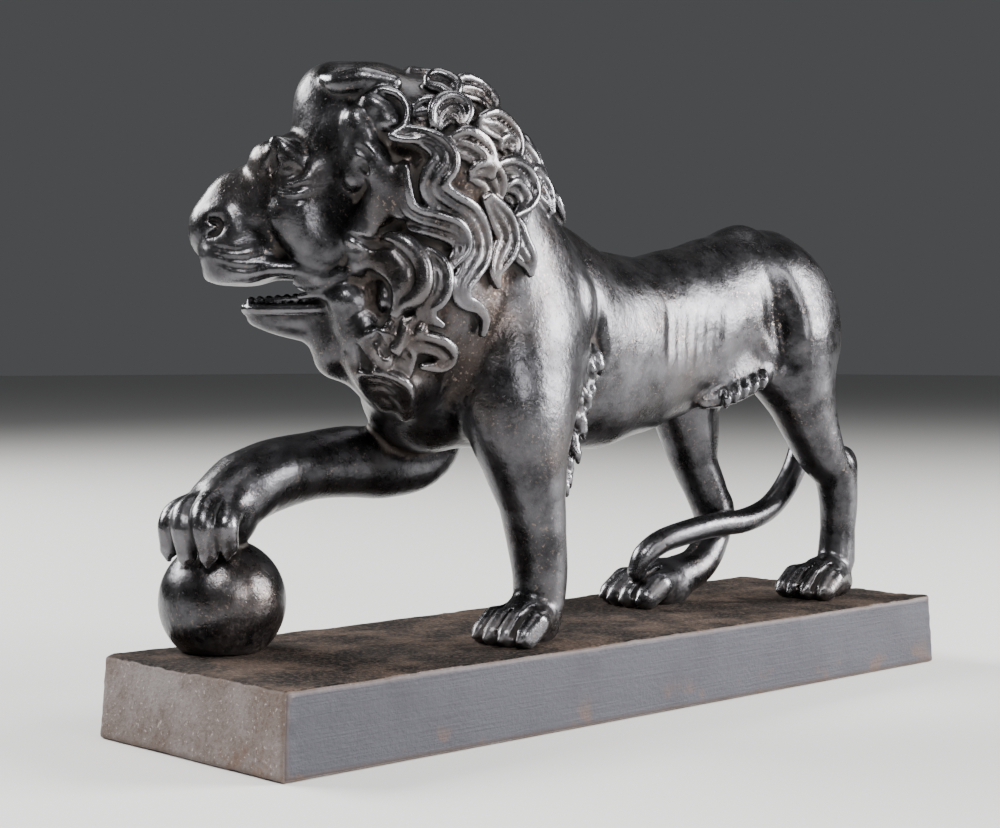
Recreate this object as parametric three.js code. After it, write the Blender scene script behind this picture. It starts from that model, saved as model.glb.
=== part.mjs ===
// A small cast iron lion that walks with its right fore paw on a ball, on a long low plinth.
// Millimetres, +Z up. The origin is at the middle of the plinth's underside.
// The lion looks along -X and turns its head to its right, towards +Y. Its left side faces -Y.
//
// The lion is shaped as a founder's model is, by adding lumps and rolls of wax that melt into
// each other. Each lump is a signed distance, the surface is where the distances reach zero,
// and that surface is then meshed and thinned to fewer triangles.

import * as THREE from 'three';

// Driving dimensions of the plinth
const PLINTH_LENGTH = 180;
const PLINTH_WIDTH = 54;
const PLINTH_HEIGHT = 14.5;
const PLINTH_DRAFT_ENDS = 1.0;
const PLINTH_DRAFT_SIDES = 0.6;
const PLINTH_CORNERS = [0.6, 1.6, 1.6, 2.5];
const PLINTH_EDGE_RADIUS = 0.6;
const PLINTH_FOOT_CHAMFER = 0.25;

// Driving dimensions of the lion and its ball
const SEAT_GAP = 0.3;
const BALL_RADIUS = 11.3;
const BALL_CENTRE = [-71, 15, 23.4];
const HEAD_YAW = 41;
const HEAD_PIVOT = [-46, -0.5];
const TAIL_RADIUS = 2.6;
const LOCK_RADIUS = 2.4;
const LOCK_LENGTH = 14.5;
const LOCK_WAVE = 1.7;
const LOCK_SPACING = 6.2;
const LONG_LOCK_LIFT = 0.9;

// Fineness of the modelled surface and the number of triangles left after thinning
const CELL = 1.15;
const FAR = 8;
const TRIANGLE_BUDGET = 9000;

const rad = THREE.MathUtils.degToRad;
const clamp = THREE.MathUtils.clamp;
const lerp = THREE.MathUtils.lerp;

// Distances to the lumps

function ellipsoid(centre, radii, yaw = 0, pitch = 0) {
  const turn = new THREE.Matrix4().makeRotationZ(rad(yaw));
  turn.multiply(new THREE.Matrix4().makeRotationY(rad(pitch)));
  const e = turn.elements;
  const [cx, cy, cz] = centre;
  const [a, b, c] = radii;
  const reach = Math.max(a, b, c);
  function distance(x, y, z) {
    const px = x - cx;
    const py = y - cy;
    const pz = z - cz;
    const u = (e[0] * px + e[1] * py + e[2] * pz) / a;
    const v = (e[4] * px + e[5] * py + e[6] * pz) / b;
    const w = (e[8] * px + e[9] * py + e[10] * pz) / c;
    const scaled = Math.hypot(u, v, w);
    const slope = Math.hypot(u / a, v / b, w / c);
    return slope < 1e-6 ? -Math.min(a, b, c) : scaled * (scaled - 1) / slope;
  }
  const low = [cx - reach, cy - reach, cz - reach];
  const high = [cx + reach, cy + reach, cz + reach];
  return { distance, low, high };
}

// A roll of varying thickness along a smooth curve. Each knot is [x, y, z, radius, flatness],
// where flatness is the roll's width across the body as a share of its width along it.
function roll(knots, steps = 6) {
  const curve = new THREE.CatmullRomCurve3(knots.map((k) => new THREE.Vector3(k[0], k[1], k[2])),
    false, 'centripetal');
  const spans = knots.length - 1;
  const path = [];
  for (let i = 0; i <= spans * steps; i += 1) {
    const t = i / steps;
    const k = Math.min(Math.floor(t), spans - 1);
    const point = curve.getPoint(t / spans);
    const radius = lerp(knots[k][3], knots[k + 1][3], t - k);
    const flat = lerp(knots[k][4] ?? 1, knots[k + 1][4] ?? 1, t - k);
    path.push([point.x, point.y, point.z, radius, flat]);
  }
  return chain(path);
}

function chain(path) {
  const low = [0, 1, 2].map((i) => Math.min(...path.map((p) => p[i] - p[3])));
  const high = [0, 1, 2].map((i) => Math.max(...path.map((p) => p[i] + p[3])));
  function distance(x, y, z) {
    let best = Infinity;
    for (let i = 0; i + 1 < path.length; i += 1) {
      const p = path[i];
      const q = path[i + 1];
      const ax = q[0] - p[0];
      const ay = q[1] - p[1];
      const az = q[2] - p[2];
      const bx = x - p[0];
      const by = y - p[1];
      const bz = z - p[2];
      const t = clamp((ax * bx + ay * by + az * bz) / (ax * ax + ay * ay + az * az), 0, 1);
      const flat = (p[4] ?? 1) + t * ((q[4] ?? 1) - (p[4] ?? 1));
      const span = Math.hypot(bx - t * ax, (by - t * ay) / flat, bz - t * az);
      best = Math.min(best, (span - p[3] - t * (q[3] - p[3])) * Math.min(1, flat));
    }
    return best;
  }
  return { distance, low, high };
}

// The trunk: oval sections [x, middle height, half width, half height] set along the spine
function barrel(sections) {
  const first = sections[0];
  const last = sections[sections.length - 1];
  const END = 9;
  function distance(x, y, z) {
    const s = clamp(x, first[0], last[0]);
    let k = 0;
    while (k < sections.length - 2 && s > sections[k + 1][0]) k += 1;
    const p = sections[k];
    const q = sections[k + 1];
    const raw = (s - p[0]) / (q[0] - p[0]);
    const t = raw * raw * (3 - 2 * raw) * 0.5 + raw * 0.5;
    const middle = lerp(p[1], q[1], t);
    const wide = lerp(p[2], q[2], t);
    const tall = lerp(p[3], q[3], t);
    const u = (x - s) / END;
    const v = y / wide;
    const w = (z - middle) / tall;
    const scaled = Math.hypot(u, v, w);
    const slope = Math.hypot(u / END, v / wide, w / tall);
    return slope < 1e-6 ? -wide : scaled * (scaled - 1) / slope;
  }
  const wide = Math.max(...sections.map((p) => p[2]));
  const low = [first[0] - END, -wide, Math.min(...sections.map((p) => p[1] - p[3]))];
  const high = [last[0] + END, wide, Math.max(...sections.map((p) => p[1] + p[3]))];
  return { distance, low, high };
}

// The wax: a box of distances that lumps are melted into or pressed out of

const WAX_LOW = [-96, -34, PLINTH_HEIGHT - 3];
const WAX_HIGH = [92, 38, 128];
const COUNT = [0, 1, 2].map((i) => Math.ceil((WAX_HIGH[i] - WAX_LOW[i]) / CELL) + 1);
const wax = new Float32Array(COUNT[0] * COUNT[1] * COUNT[2]).fill(FAR);

function melt(lump, blend, sign) {
  const margin = blend + 2 * CELL;
  const from = lump.low.map((v, i) => Math.max(0, Math.floor((v - margin - WAX_LOW[i]) / CELL)));
  const to = lump.high.map((v, i) => Math.min(COUNT[i] - 1,
    Math.ceil((v + margin - WAX_LOW[i]) / CELL)));
  for (let k = from[2]; k <= to[2]; k += 1) {
    for (let j = from[1]; j <= to[1]; j += 1) {
      for (let i = from[0]; i <= to[0]; i += 1) {
        const at = i + COUNT[0] * (j + COUNT[1] * k);
        const d = lump.distance(WAX_LOW[0] + i * CELL, WAX_LOW[1] + j * CELL,
          WAX_LOW[2] + k * CELL);
        const old = sign * wax[at];
        const h = Math.max(blend - Math.abs(old - d), 0) / blend;
        wax[at] = sign * (Math.min(old, d) - h * h * blend / 4);
      }
    }
  }
}

function add(lump, blend = 3) {
  melt(lump, blend, 1);
}

function press(lump, blend = 1) {
  melt(lump, blend, -1);
}

// Trunk, from the chest to the rump
add(barrel([
  [-34, 72, 14, 21], [-20, 74, 15.5, 23], [-6, 71, 15.5, 22.5], [8, 68.2, 14.2, 19.8],
  [20, 69.0, 13.2, 18.0], [32, 71.6, 12.6, 17.6], [44, 75.5, 12.6, 16.6], [54, 78.2, 13.2, 17.0],
  [62, 76.8, 12.6, 15.6],
]));
add(ellipsoid([-33, 4, 62], [12, 12, 13]), 4);
add(ellipsoid([-20, -1, 60], [12, 9.5, 10]), 4);

// Left fore leg, which stands
add(ellipsoid([-21, -9, 76], [14, 8.5, 19], 0, 12), 3);
add(roll([
  [-22, -11, 68, 15, 0.6], [-25, -13.5, 58, 12.2, 0.72], [-25, -14.5, 50, 8.9, 0.86],
  [-23.4, -15, 41, 6.4, 0.95], [-22.2, -15, 34, 5.6], [-21.2, -15, 27, 5.1],
  [-21.4, -15, 22, 4.8],
]), 3);

// Right fore leg, raised, with its paw on the ball
add(ellipsoid([-21, 9, 74], [14, 8.5, 19], 0, 12), 3);
add(roll([
  [-26, 11, 66, 12.5, 0.65], [-24, 12.5, 55, 8.5, 0.8], [-26, 13, 48.5, 6.6, 0.95],
  [-34, 13.7, 46.6, 6.6], [-43, 14.2, 47.2, 6.7], [-52, 14.7, 46.6, 6.2], [-60, 15, 45.2, 6.4],
  [-66.5, 15, 43.2, 6.6], [-72, 14.5, 40.5, 5.6],
]), 3);

// Left hind leg, which stands back
add(ellipsoid([61.4, -7.8, 73], [15.4, 8.8, 17.5], 0, -18), 4);
add(roll([
  [60, -9.5, 70, 10.5, 0.75], [63, -10, 60, 8.4, 0.85], [66.5, -10.5, 52, 6.6, 0.9],
  [70, -10.8, 46, 5.4], [74.6, -11, 41, 4.6], [75.9, -11, 35.2, 4.2], [75.7, -11, 29, 3.8],
  [75.2, -11, 22.5, 4.1],
]), 3);
add(ellipsoid([77.6, -11, 43], [3.2, 3, 4.2]), 2);

// Right hind leg, a step further forward
add(ellipsoid([55, 7.8, 73], [15, 8.8, 17], 0, 6), 4);
add(roll([
  [51, 9, 68, 10.5, 0.75], [47, 8.5, 58, 8.4, 0.85], [48, 8, 50, 6.7, 0.9], [49, 7.5, 44, 5.0],
  [51.5, 6.5, 38, 4.6], [53, 5.5, 32, 4.2], [51, 4.5, 27, 3.7], [45.5, 4.0, 22, 4.0],
  [38, 4.6, 19.6, 4.6],
]), 3);
add(ellipsoid([54.8, 5.5, 33.5], [3.2, 3, 4]), 2);

// Creases in front of each thigh and behind each shoulder
for (const side of [-1, 1]) {
  press(roll([[48.5, side * 14.6, 86, 0.6], [50, side * 15, 78, 2.0], [50.5, side * 14.8, 70, 2.2],
    [52, side * 14, 64, 1.2]]), 2.5);
  press(roll([[-9, side * 16, 84, 0.6], [-6, side * 16.4, 76, 1.5],
    [-5.2, side * 16.2, 68, 1.9]]), 2);
}

// Paws. Four toes lie side by side and fan out a little; heading is the way that they point.
function paw(centre, heading, size) {
  const [cx, cy] = centre;
  const forward = [Math.cos(rad(heading)), Math.sin(rad(heading))];
  const floor = PLINTH_HEIGHT;
  const place = (along, across, up) => [
    cx + size * (forward[0] * along - forward[1] * across),
    cy + size * (forward[1] * along + forward[0] * across),
    floor + size * up,
  ];
  add(ellipsoid(place(-1.5, 0, 3.2), [7.4 * size, 5.9 * size, 3.9 * size], heading), 2);
  add(ellipsoid(place(0, 0, 5.0), [5 * size, 4.6 * size, 3.2 * size], heading), 2);
  for (const row of [-1.5, -0.5, 0.5, 1.5]) {
    const short = 0.55 * row * row;
    const tip = place(8.2 - short, row * 3.3, 1.9);
    const knuckle = place(4.4 - short, row * 3.0, 4.6);
    const root = place(-1, row * 2.0, 5.4);
    add(chain([[...root, 2.0 * size], [...knuckle, 2.3 * size], [...tip, 2.0 * size]]), 0.7);
  }
}
paw([-24.8, -15.4], 186, 0.96);
paw([70.2, -11.4], 181, 1.0);
paw([34.0, 5.2], 172, 1.1);

// The ball, and the paw laid over it
add(ellipsoid(BALL_CENTRE, [BALL_RADIUS, BALL_RADIUS, BALL_RADIUS]), 0.8);
const BALL_TOES = [
  [[-78.6, 17.2, 39.6], [-80.8, 17.0, 32.6]],
  [[-79.8, 13.4, 39.8], [-81.0, 12.8, 31.0]],
  [[-78.2, 9.6, 40.2], [-78.6, 8.2, 31.4]],
  [[-74.2, 7.4, 39.0], [-74.4, 5.6, 33.4]],
];
for (const [knuckle, tip] of BALL_TOES) {
  const bend = [0, 1, 2].map((i) => (knuckle[i] + tip[i]) / 2 + [-1.1, -0.7, 0.9][i]);
  add(roll([[-68, 14, 42.5, 2.6], [...knuckle, 2.3], [...bend, 2.3], [...tip, 1.7]]), 0.9);
}
add(ellipsoid([-73.5, 12.6, 38.2], [6.4, 5.4, 3.8]), 1.5);
add(ellipsoid([-65.5, 8.8, 42.5], [2.8, 1.8, 3.2]), 1);

// Tail, hanging between the hind legs and laid along the right hind paw
add(roll([
  [68, -1, 87, 4.0], [75.5, -1, 79, 3.4], [78.8, -1, 68, 2.9], [79, -0.8, 57, TAIL_RADIUS],
  [76.8, -0.5, 48, TAIL_RADIUS],
  [72.6, -0.5, 40.2, TAIL_RADIUS], [65, -0.8, 34, TAIL_RADIUS], [56, -0.8, 31.4, TAIL_RADIUS],
  [47, -0.4, 31, TAIL_RADIUS], [38, 0.4, 29.8, TAIL_RADIUS], [30, 1.6, 27.6, 2.6],
  [25, 2.6, 24, 2.8], [23.2, 3.6, 19.6, 2.4],
]), 1);

// Skin fold between the belly and the left thigh, with its row of small tufts
add(roll([[26, -11, 57.5, 2.0], [33, -12.2, 59.2, 2.6], [41, -12.8, 61.4, 2.8],
  [49, -12.8, 64, 2.6], [54, -12, 67, 3]]), 2);
add(roll([[26, 11, 57.5, 2.0], [33, 12.2, 59.2, 2.6], [41, 12.8, 61.4, 2.8],
  [47, 12.8, 64, 2.6], [51, 12, 67, 3]]), 2);
for (let i = 0; i < 5; i += 1) {
  const x = 31 + 4.1 * i;
  const z = 56.4 + 1.5 * i;
  for (const side of [-1, 1]) {
    add(chain([[x, side * 12.6, z + 2, 1.5], [x + 0.6, side * 13.2, z - 0.6, 1.4]]), 0.5);
  }
}

// Head, in its own directions: forward along the muzzle, across to its left, and up
function head(forward, left, up) {
  const c = Math.cos(rad(HEAD_YAW));
  const s = Math.sin(rad(HEAD_YAW));
  return [HEAD_PIVOT[0] - c * forward - s * left, HEAD_PIVOT[1] + s * forward - c * left, up];
}

function headLump(place, radii, pitch = 0) {
  return ellipsoid(head(...place), radii, -HEAD_YAW, pitch);
}

// Skull, forehead, cheeks, muzzle and nose, each with the softness that it melts in with
const headMass = [
  [headLump([3, 0, 105], [13.5, 13, 14.6]), 3],
  [headLump([9.6, 0, 112], [6.6, 8.5, 7.4]), 3],
  [headLump([15, 0, 94], [11, 10, 11]), 3],
  [headLump([11, 8.2, 92], [8, 5, 10]), 3],
  [headLump([11, -8.2, 92], [8, 5, 10]), 3],
  [headLump([24.2, 0, 90.4], [9.6, 7.6, 10.4]), 3],
  [headLump([31, 0, 89.4], [4.2, 5.4, 5.2]), 2],
];
for (const [lump, blend] of headMass) add(lump, blend);
for (const side of [-1, 1]) {
  add(headLump([17.6, side * 4.8, 102.6], [5.6, 4.8, 4.6]), 2.5);
  add(headLump([25.5, side * 4.2, 84], [7.6, 4.6, 4.8]), 2);
  press(headLump([17.2, side * 10.4, 100.2], [3.6, 2.6, 1.8]), 1.5);
  add(headLump([17.2, side * 8.2, 99.8], [2.6, 2.2, 1.7]), 0.5);
  press(headLump([31.5, side * 5.6, 89.6], [1.5, 1.6, 1.6]), 0.8);
}

// Mouth, a little open, and the lower jaw
press(headLump([24, 0, 78.3], [11.5, 12, 1.5], 4), 0.8);
add(headLump([7, 0, 76], [8, 8, 7]), 3);
add(roll([[...head(8, 0, 74.5), 5.0, 1.2], [...head(14, 0, 74.3), 3.4, 1.5],
  [...head(19, 0, 74.5), 2.6, 1.6], [...head(22.4, 0, 75), 1.8, 1.6]]), 1.5);

// Mane mass: the collar of hair that the locks are laid over
const maneMass = [
  [headLump([-7, 0, 100], [14.5, 15.5, 17]), 3],
  [ellipsoid([-33, -1, 95], [20.5, 15, 19], 0, 12), 5],
  [ellipsoid([-28, -1, 86], [17, 15.5, 16], 0, 20), 5],
  [ellipsoid([-42, -1.5, 80], [13.5, 16, 18]), 5],
  [headLump([-0.5, 0, 68.5], [9.0, 11.5, 13.5], -20), 4],
];

function maneDistance(x, y, z) {
  let d = FAR * 100;
  for (const [lump, blend] of [...maneMass, ...headMass]) {
    const b = lump.distance(x, y, z);
    const h = Math.max(blend - Math.abs(d - b), 0) / blend;
    d = Math.min(d, b) - h * h * blend / 4;
  }
  return d;
}

function maneNormal(p) {
  const e = 0.4;
  return new THREE.Vector3(
    maneDistance(p.x + e, p.y, p.z) - maneDistance(p.x - e, p.y, p.z),
    maneDistance(p.x, p.y + e, p.z) - maneDistance(p.x, p.y - e, p.z),
    maneDistance(p.x, p.y, p.z + e) - maneDistance(p.x, p.y, p.z - e),
  ).normalize();
}

function settle(p, depth) {
  for (let i = 0; i < 4; i += 1) {
    p.addScaledVector(maneNormal(p), -(maneDistance(p.x, p.y, p.z) + depth));
  }
  return p;
}

for (const [lump, blend] of maneMass) add(lump, blend);

// The way that the hair lies: back from the face, down the neck and towards the shoulders
const LIE = new THREE.Vector3(...head(-0.45, 0, 0)).sub(new THREE.Vector3(...head(0, 0, 0)))
  .add(new THREE.Vector3(0.2, 0, -0.8));

function lieAt(normal) {
  return LIE.clone().addScaledVector(normal, -LIE.dot(normal)).normalize();
}

// A lock starts sunk in the mane, swells, and ends in a raised tip, waving from side to side
function lock(start, length, radius, wave, phase) {
  const steps = 12;
  const p = start.clone();
  const path = [];
  for (let i = 0; i <= steps; i += 1) {
    const t = i / steps;
    const normal = maneNormal(p);
    const down = lieAt(normal);
    const across = new THREE.Vector3().crossVectors(normal, down);
    const sway = wave * Math.sin(2 * Math.PI * (t * 1.1 + phase)) * (0.3 + 0.7 * t);
    const thick = radius * (0.25 + 0.75 * Math.sin(Math.PI * t ** 0.7) ** 0.7) * (1 - 0.3 * t);
    const lift = radius * (1.35 * t - 0.75 * t * t - 0.35);
    const q = p.clone().addScaledVector(across, sway).addScaledVector(normal, lift);
    path.push([q.x, q.y, q.z, thick]);
    p.addScaledVector(down, length / steps);
    settle(p, 0);
  }
  return chain(path);
}

// Lock roots are spaced evenly over the mane: rings of trial places are taken from the face
// back to the withers, and a place is used when it keeps its distance from those before it
function isHair(p) {
  const c = Math.cos(rad(HEAD_YAW));
  const s = Math.sin(rad(HEAD_YAW));
  const forward = -(p.x - HEAD_PIVOT[0]) * c + (p.y - HEAD_PIVOT[1]) * s;
  const faceEdge = 6.5 - 9 * clamp((p.z - 105) / 8, 0, 1) + 4 * clamp((80 - p.z) / 12, 0, 1);
  const border = lerp(-46, -3, clamp((p.z - 60) / 36, 0, 1));
  return forward < faceEdge && p.x < border && p.z > 58;
}

const roots = [];
const RING_FROM = new THREE.Vector3(...head(9, 0, 92));
const RING_TO = new THREE.Vector3(-8, 0, 86);
const RINGS = 26;
for (let ring = 0; ring < RINGS; ring += 1) {
  const centre = RING_FROM.clone().lerp(RING_TO, ring / (RINGS - 1));
  const axis = RING_TO.clone().sub(RING_FROM).normalize();
  const side = new THREE.Vector3().crossVectors(new THREE.Vector3(0, 0, 1), axis).normalize();
  const top = new THREE.Vector3().crossVectors(axis, side);
  for (let degrees = -168; degrees <= 168; degrees += 8) {
    const angle = rad(degrees);
    const p = centre.clone();
    p.addScaledVector(top, 20 * Math.cos(angle)).addScaledVector(side, 20 * Math.sin(angle));
    settle(p, 0);
    if (isHair(p) && roots.every((q) => q.distanceTo(p) > LOCK_SPACING)) roots.push(p);
  }
}
roots.forEach((root, i) => {
  add(lock(root, LOCK_LENGTH, LOCK_RADIUS, LOCK_WAVE, 0.13 * (i % 3)), 0.4);
});

// The place on the mane that is met when looking straight at the side of the head
function fromTheSide(forward, up, side) {
  const p = new THREE.Vector3(...head(forward, side * 30, up));
  const inward = new THREE.Vector3(...head(0, 0, 0)).sub(new THREE.Vector3(...head(0, side, 0)));
  for (let i = 0; i < 24; i += 1) {
    p.addScaledVector(inward, 0.9 * Math.max(maneDistance(p.x, p.y, p.z), 0));
  }
  return maneDistance(p.x, p.y, p.z) < 1 ? p : settle(p, 0);
}

// The long locks that hang over the others, the same on both sides of the head. Each has its
// width, and the forward and up places that it sways through.
const LONG_LOCKS = [
  [4.6, [[-4, 105], [-9.6, 101.6], [-8.4, 95.6], [-14, 91.6], [-15.8, 84.4], [-12, 77.6],
    [-16.6, 73]]],
  [4.4, [[-1.6, 103], [-2.6, 94.4], [-7.6, 89.6], [-13.6, 86.6], [-11.8, 80], [-9.4, 78]]],
  [4.4, [[-3.6, 86.4], [-9, 83], [-9.2, 78], [-7.2, 74], [-9.4, 71.8]]],
  [5.4, [[-12.6, 104.6], [-17.4, 101], [-20.2, 94.8], [-21.3, 86.4], [-18, 79.8]]],
  [5.4, [[-10.6, 101], [-16.4, 95.6], [-19.4, 88.6], [-16.6, 81], [-17.2, 77]]],
  [5.2, [[-20, 101], [-25, 96.4], [-22.7, 91], [-25, 85.2], [-27, 82]]],
  [5.0, [[-5.6, 108.6], [-12, 109.8], [-13.4, 107], [-9.2, 103.6]]],
  [5.2, [[6.4, 103], [3.8, 107.6], [0.6, 102.6], [-2, 102.2]]],
  [6.0, [[5.4, 100], [0.4, 96.8], [-1.6, 93], [3.6, 88.6]]],
  [5.0, [[-2.4, 87], [-2, 83], [-4.8, 78], [-2.8, 72]]],
  [4.6, [[2.2, 74], [-1.6, 68.4], [-6, 68], [-7.6, 64]]],
];
for (const [width, places] of LONG_LOCKS) {
  const curve = new THREE.SplineCurve(places.map(([f, u]) => new THREE.Vector2(f, u)));
  const steps = 4 * (places.length - 1);
  for (const side of [-1, 1]) {
    const path = curve.getPoints(steps).map((at, i) => {
      const t = i / steps;
      const p = fromTheSide(at.x, at.y, side);
      const radius = 0.5 * width * (0.45 + 0.55 * Math.sin(Math.PI * t ** 0.6)) * (1 - 0.4 * t);
      p.addScaledVector(maneNormal(p), LONG_LOCK_LIFT - 0.2 * radius);
      return [p.x, p.y, p.z, radius];
    });
    add(chain(path), 0.4);
  }
}

// Ears, each a smooth lobe under a tuft that is combed back from the forehead
for (const side of [-1, 1]) {
  add(headLump([0.6, side * 12.6, 109.2], [4.2, 3.2, 3.6]), 0.8);
  add(roll([[...head(10.5, side * 8, 116), 1.2], [...head(7.6, side * 10.4, 114.4), 2.0],
    [...head(2.6, side * 11.2, 115), 2.2], [...head(-3, side * 12.2, 113.4), 1.4]]), 0.8);
}

// Fringe of short tufts down the back of each fore leg's elbow
for (let i = 0; i < 8; i += 1) {
  const t = i / 7;
  const z = lerp(66, 44, t);
  const x = lerp(-7.5, -15.5, t) + 0.8 * Math.sin(i * 2.3);
  add(chain([[x, -15.2, z + 2.4, 1.9], [x + 1.2, -15.8, z - 1.6, 1.2]]), 0.5);
  if (i < 5) {
    const t5 = i / 4;
    const far = [lerp(-10, -18, t5), 14.6, lerp(64, 50, t5)];
    add(chain([[far[0], far[1], far[2] + 2.4, 1.9], [far[0] + 1.2, far[1], far[2] - 1.6, 1.2]]),
      0.5);
  }
}

// The feet and the ball are cut flat, just clear of the plinth's top
for (let k = 0; k < COUNT[2]; k += 1) {
  const above = PLINTH_HEIGHT + SEAT_GAP - (WAX_LOW[2] + k * CELL);
  for (let n = COUNT[0] * COUNT[1] * k; n < COUNT[0] * COUNT[1] * (k + 1); n += 1) {
    wax[n] = Math.max(wax[n], above);
  }
}

// Corners of a cell are numbered by their three bits, x first
const CORNERS = [0, 1, 2, 3, 4, 5, 6, 7].map((c) => [c & 1, (c >> 1) & 1, c >> 2]);
const OFFSETS = CORNERS.map((c) => c[0] + COUNT[0] * (c[1] + COUNT[1] * c[2]));
const DIAGONALS = [[0, 3, 1], [0, 5, 1], [0, 6, 2]];

// Where two lumps only meet corner to corner, the wax is filled in, so that no edge of the
// mesh is shared by more than two faces
function fillCorners() {
  const FILLED = -0.05;
  let filled = 0;
  const fill = (place) => {
    wax[place] = FILLED;
    filled += 1;
  };
  for (let at = 0; at < wax.length - OFFSETS[7]; at += 1) {
    const inside = (c) => wax[at + OFFSETS[c]] < 0;
    const first = inside(0);
    if (OFFSETS.every((offset) => (wax[at + offset] < 0) === first)) continue;
    for (const [p, q, r] of DIAGONALS) {
      const s = p ^ q ^ r;
      if (inside(p) !== inside(q) || inside(r) !== inside(s) || inside(p) === inside(r)) continue;
      fill(at + OFFSETS[inside(p) ? r : p]);
    }
    for (const p of [0, 1, 2, 4]) {
      const others = [1, 2, 3, 4, 5, 6].map((bits) => p ^ bits);
      if (inside(p) !== inside(p ^ 7) || !others.every((c) => inside(c) !== inside(p))) continue;
      if (inside(p)) {
        fill(at + OFFSETS[p ^ 1]);
        fill(at + OFFSETS[p ^ 3]);
      } else {
        fill(at + OFFSETS[p]);
      }
    }
  }
  return filled;
}
while (fillCorners() > 0);

// Meshing: one vertex in each cell that the surface crosses, one quad for each crossed edge
function meshWax() {
  const [nx, ny, nz] = COUNT;
  const strides = [1, nx, nx * ny];
  const vertexAt = new Int32Array(wax.length).fill(-1);
  const points = [];
  for (let at = 0; at < wax.length - OFFSETS[7]; at += 1) {
    const values = OFFSETS.map((offset) => wax[at + offset]);
    const inside = values.filter((value) => value < 0).length;
    if (inside === 0 || inside === 8) continue;
    const sum = [0, 0, 0];
    let crossings = 0;
    for (let a = 0; a < 8; a += 1) {
      for (let axis = 0; axis < 3; axis += 1) {
        const b = a | (1 << axis);
        if (b === a || (values[a] < 0) === (values[b] < 0)) continue;
        const t = values[a] / (values[a] - values[b]);
        for (let n = 0; n < 3; n += 1) sum[n] += CORNERS[a][n] + (n === axis ? t : 0);
        crossings += 1;
      }
    }
    const cell = [at % nx, Math.floor(at / nx) % ny, Math.floor(at / (nx * ny))];
    vertexAt[at] = points.length;
    points.push(cell.map((c, n) => WAX_LOW[n] + CELL * (c + sum[n] / crossings)));
  }
  const faces = [];
  for (let at = strides[2]; at < wax.length - strides[2]; at += 1) {
    for (let axis = 0; axis < 3; axis += 1) {
      if ((wax[at] < 0) === (wax[at + strides[axis]] < 0)) continue;
      const u = strides[(axis + 1) % 3];
      const v = strides[(axis + 2) % 3];
      const ring = [at - u - v, at - v, at, at - u].map((place) => vertexAt[place]);
      if (wax[at] >= 0) ring.reverse();
      faces.push([ring[0], ring[1], ring[2]], [ring[0], ring[2], ring[3]]);
    }
  }
  return { points, faces };
}

// Thinning: the edge whose loss changes the surface least is closed up first, and its two
// ends become the one point that lies nearest to all the planes that met at them
const subtract = (a, b) => [a[0] - b[0], a[1] - b[1], a[2] - b[2]];
const dot = (a, b) => a[0] * b[0] + a[1] * b[1] + a[2] * b[2];
const cross = (a, b) => [
  a[1] * b[2] - a[2] * b[1], a[2] * b[0] - a[0] * b[2], a[0] * b[1] - a[1] * b[0],
];

// The error of a point against a plane, as the ten numbers of a symmetric 4 by 4 matrix
function planeError(points, [a, b, c]) {
  const n = cross(subtract(points[b], points[a]), subtract(points[c], points[a]));
  const area = Math.sqrt(dot(n, n)) || 1e-12;
  const [x, y, z] = n.map((value) => value / area);
  const w = -dot([x, y, z], points[a]);
  return [x * x, x * y, x * z, x * w, y * y, y * z, y * w, z * z, z * w, w * w]
    .map((value) => value * area);
}

function errorAt(q, [x, y, z]) {
  return q[0] * x * x + 2 * q[1] * x * y + 2 * q[2] * x * z + 2 * q[3] * x
    + q[4] * y * y + 2 * q[5] * y * z + 2 * q[6] * y + q[7] * z * z + 2 * q[8] * z + q[9];
}

function bestPoint(q, a, b) {
  const middle = [0, 1, 2].map((i) => (a[i] + b[i]) / 2);
  const m = new THREE.Matrix3().set(q[0], q[1], q[2], q[1], q[4], q[5], q[2], q[5], q[7]);
  const size = q[0] + q[4] + q[7];
  const choices = [middle, a, b];
  if (Math.abs(m.determinant()) > 1e-5 * size ** 3) {
    const v = new THREE.Vector3(-q[3], -q[6], -q[8]).applyMatrix3(m.invert());
    const best = [v.x, v.y, v.z];
    const step = subtract(best, middle);
    const edge = subtract(a, b);
    if (dot(step, step) < dot(edge, edge)) choices.unshift(best);
  }
  const errors = choices.map((p) => errorAt(q, p));
  const pick = errors.indexOf(Math.min(...errors));
  return { point: choices[pick], error: errors[pick] };
}

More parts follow.
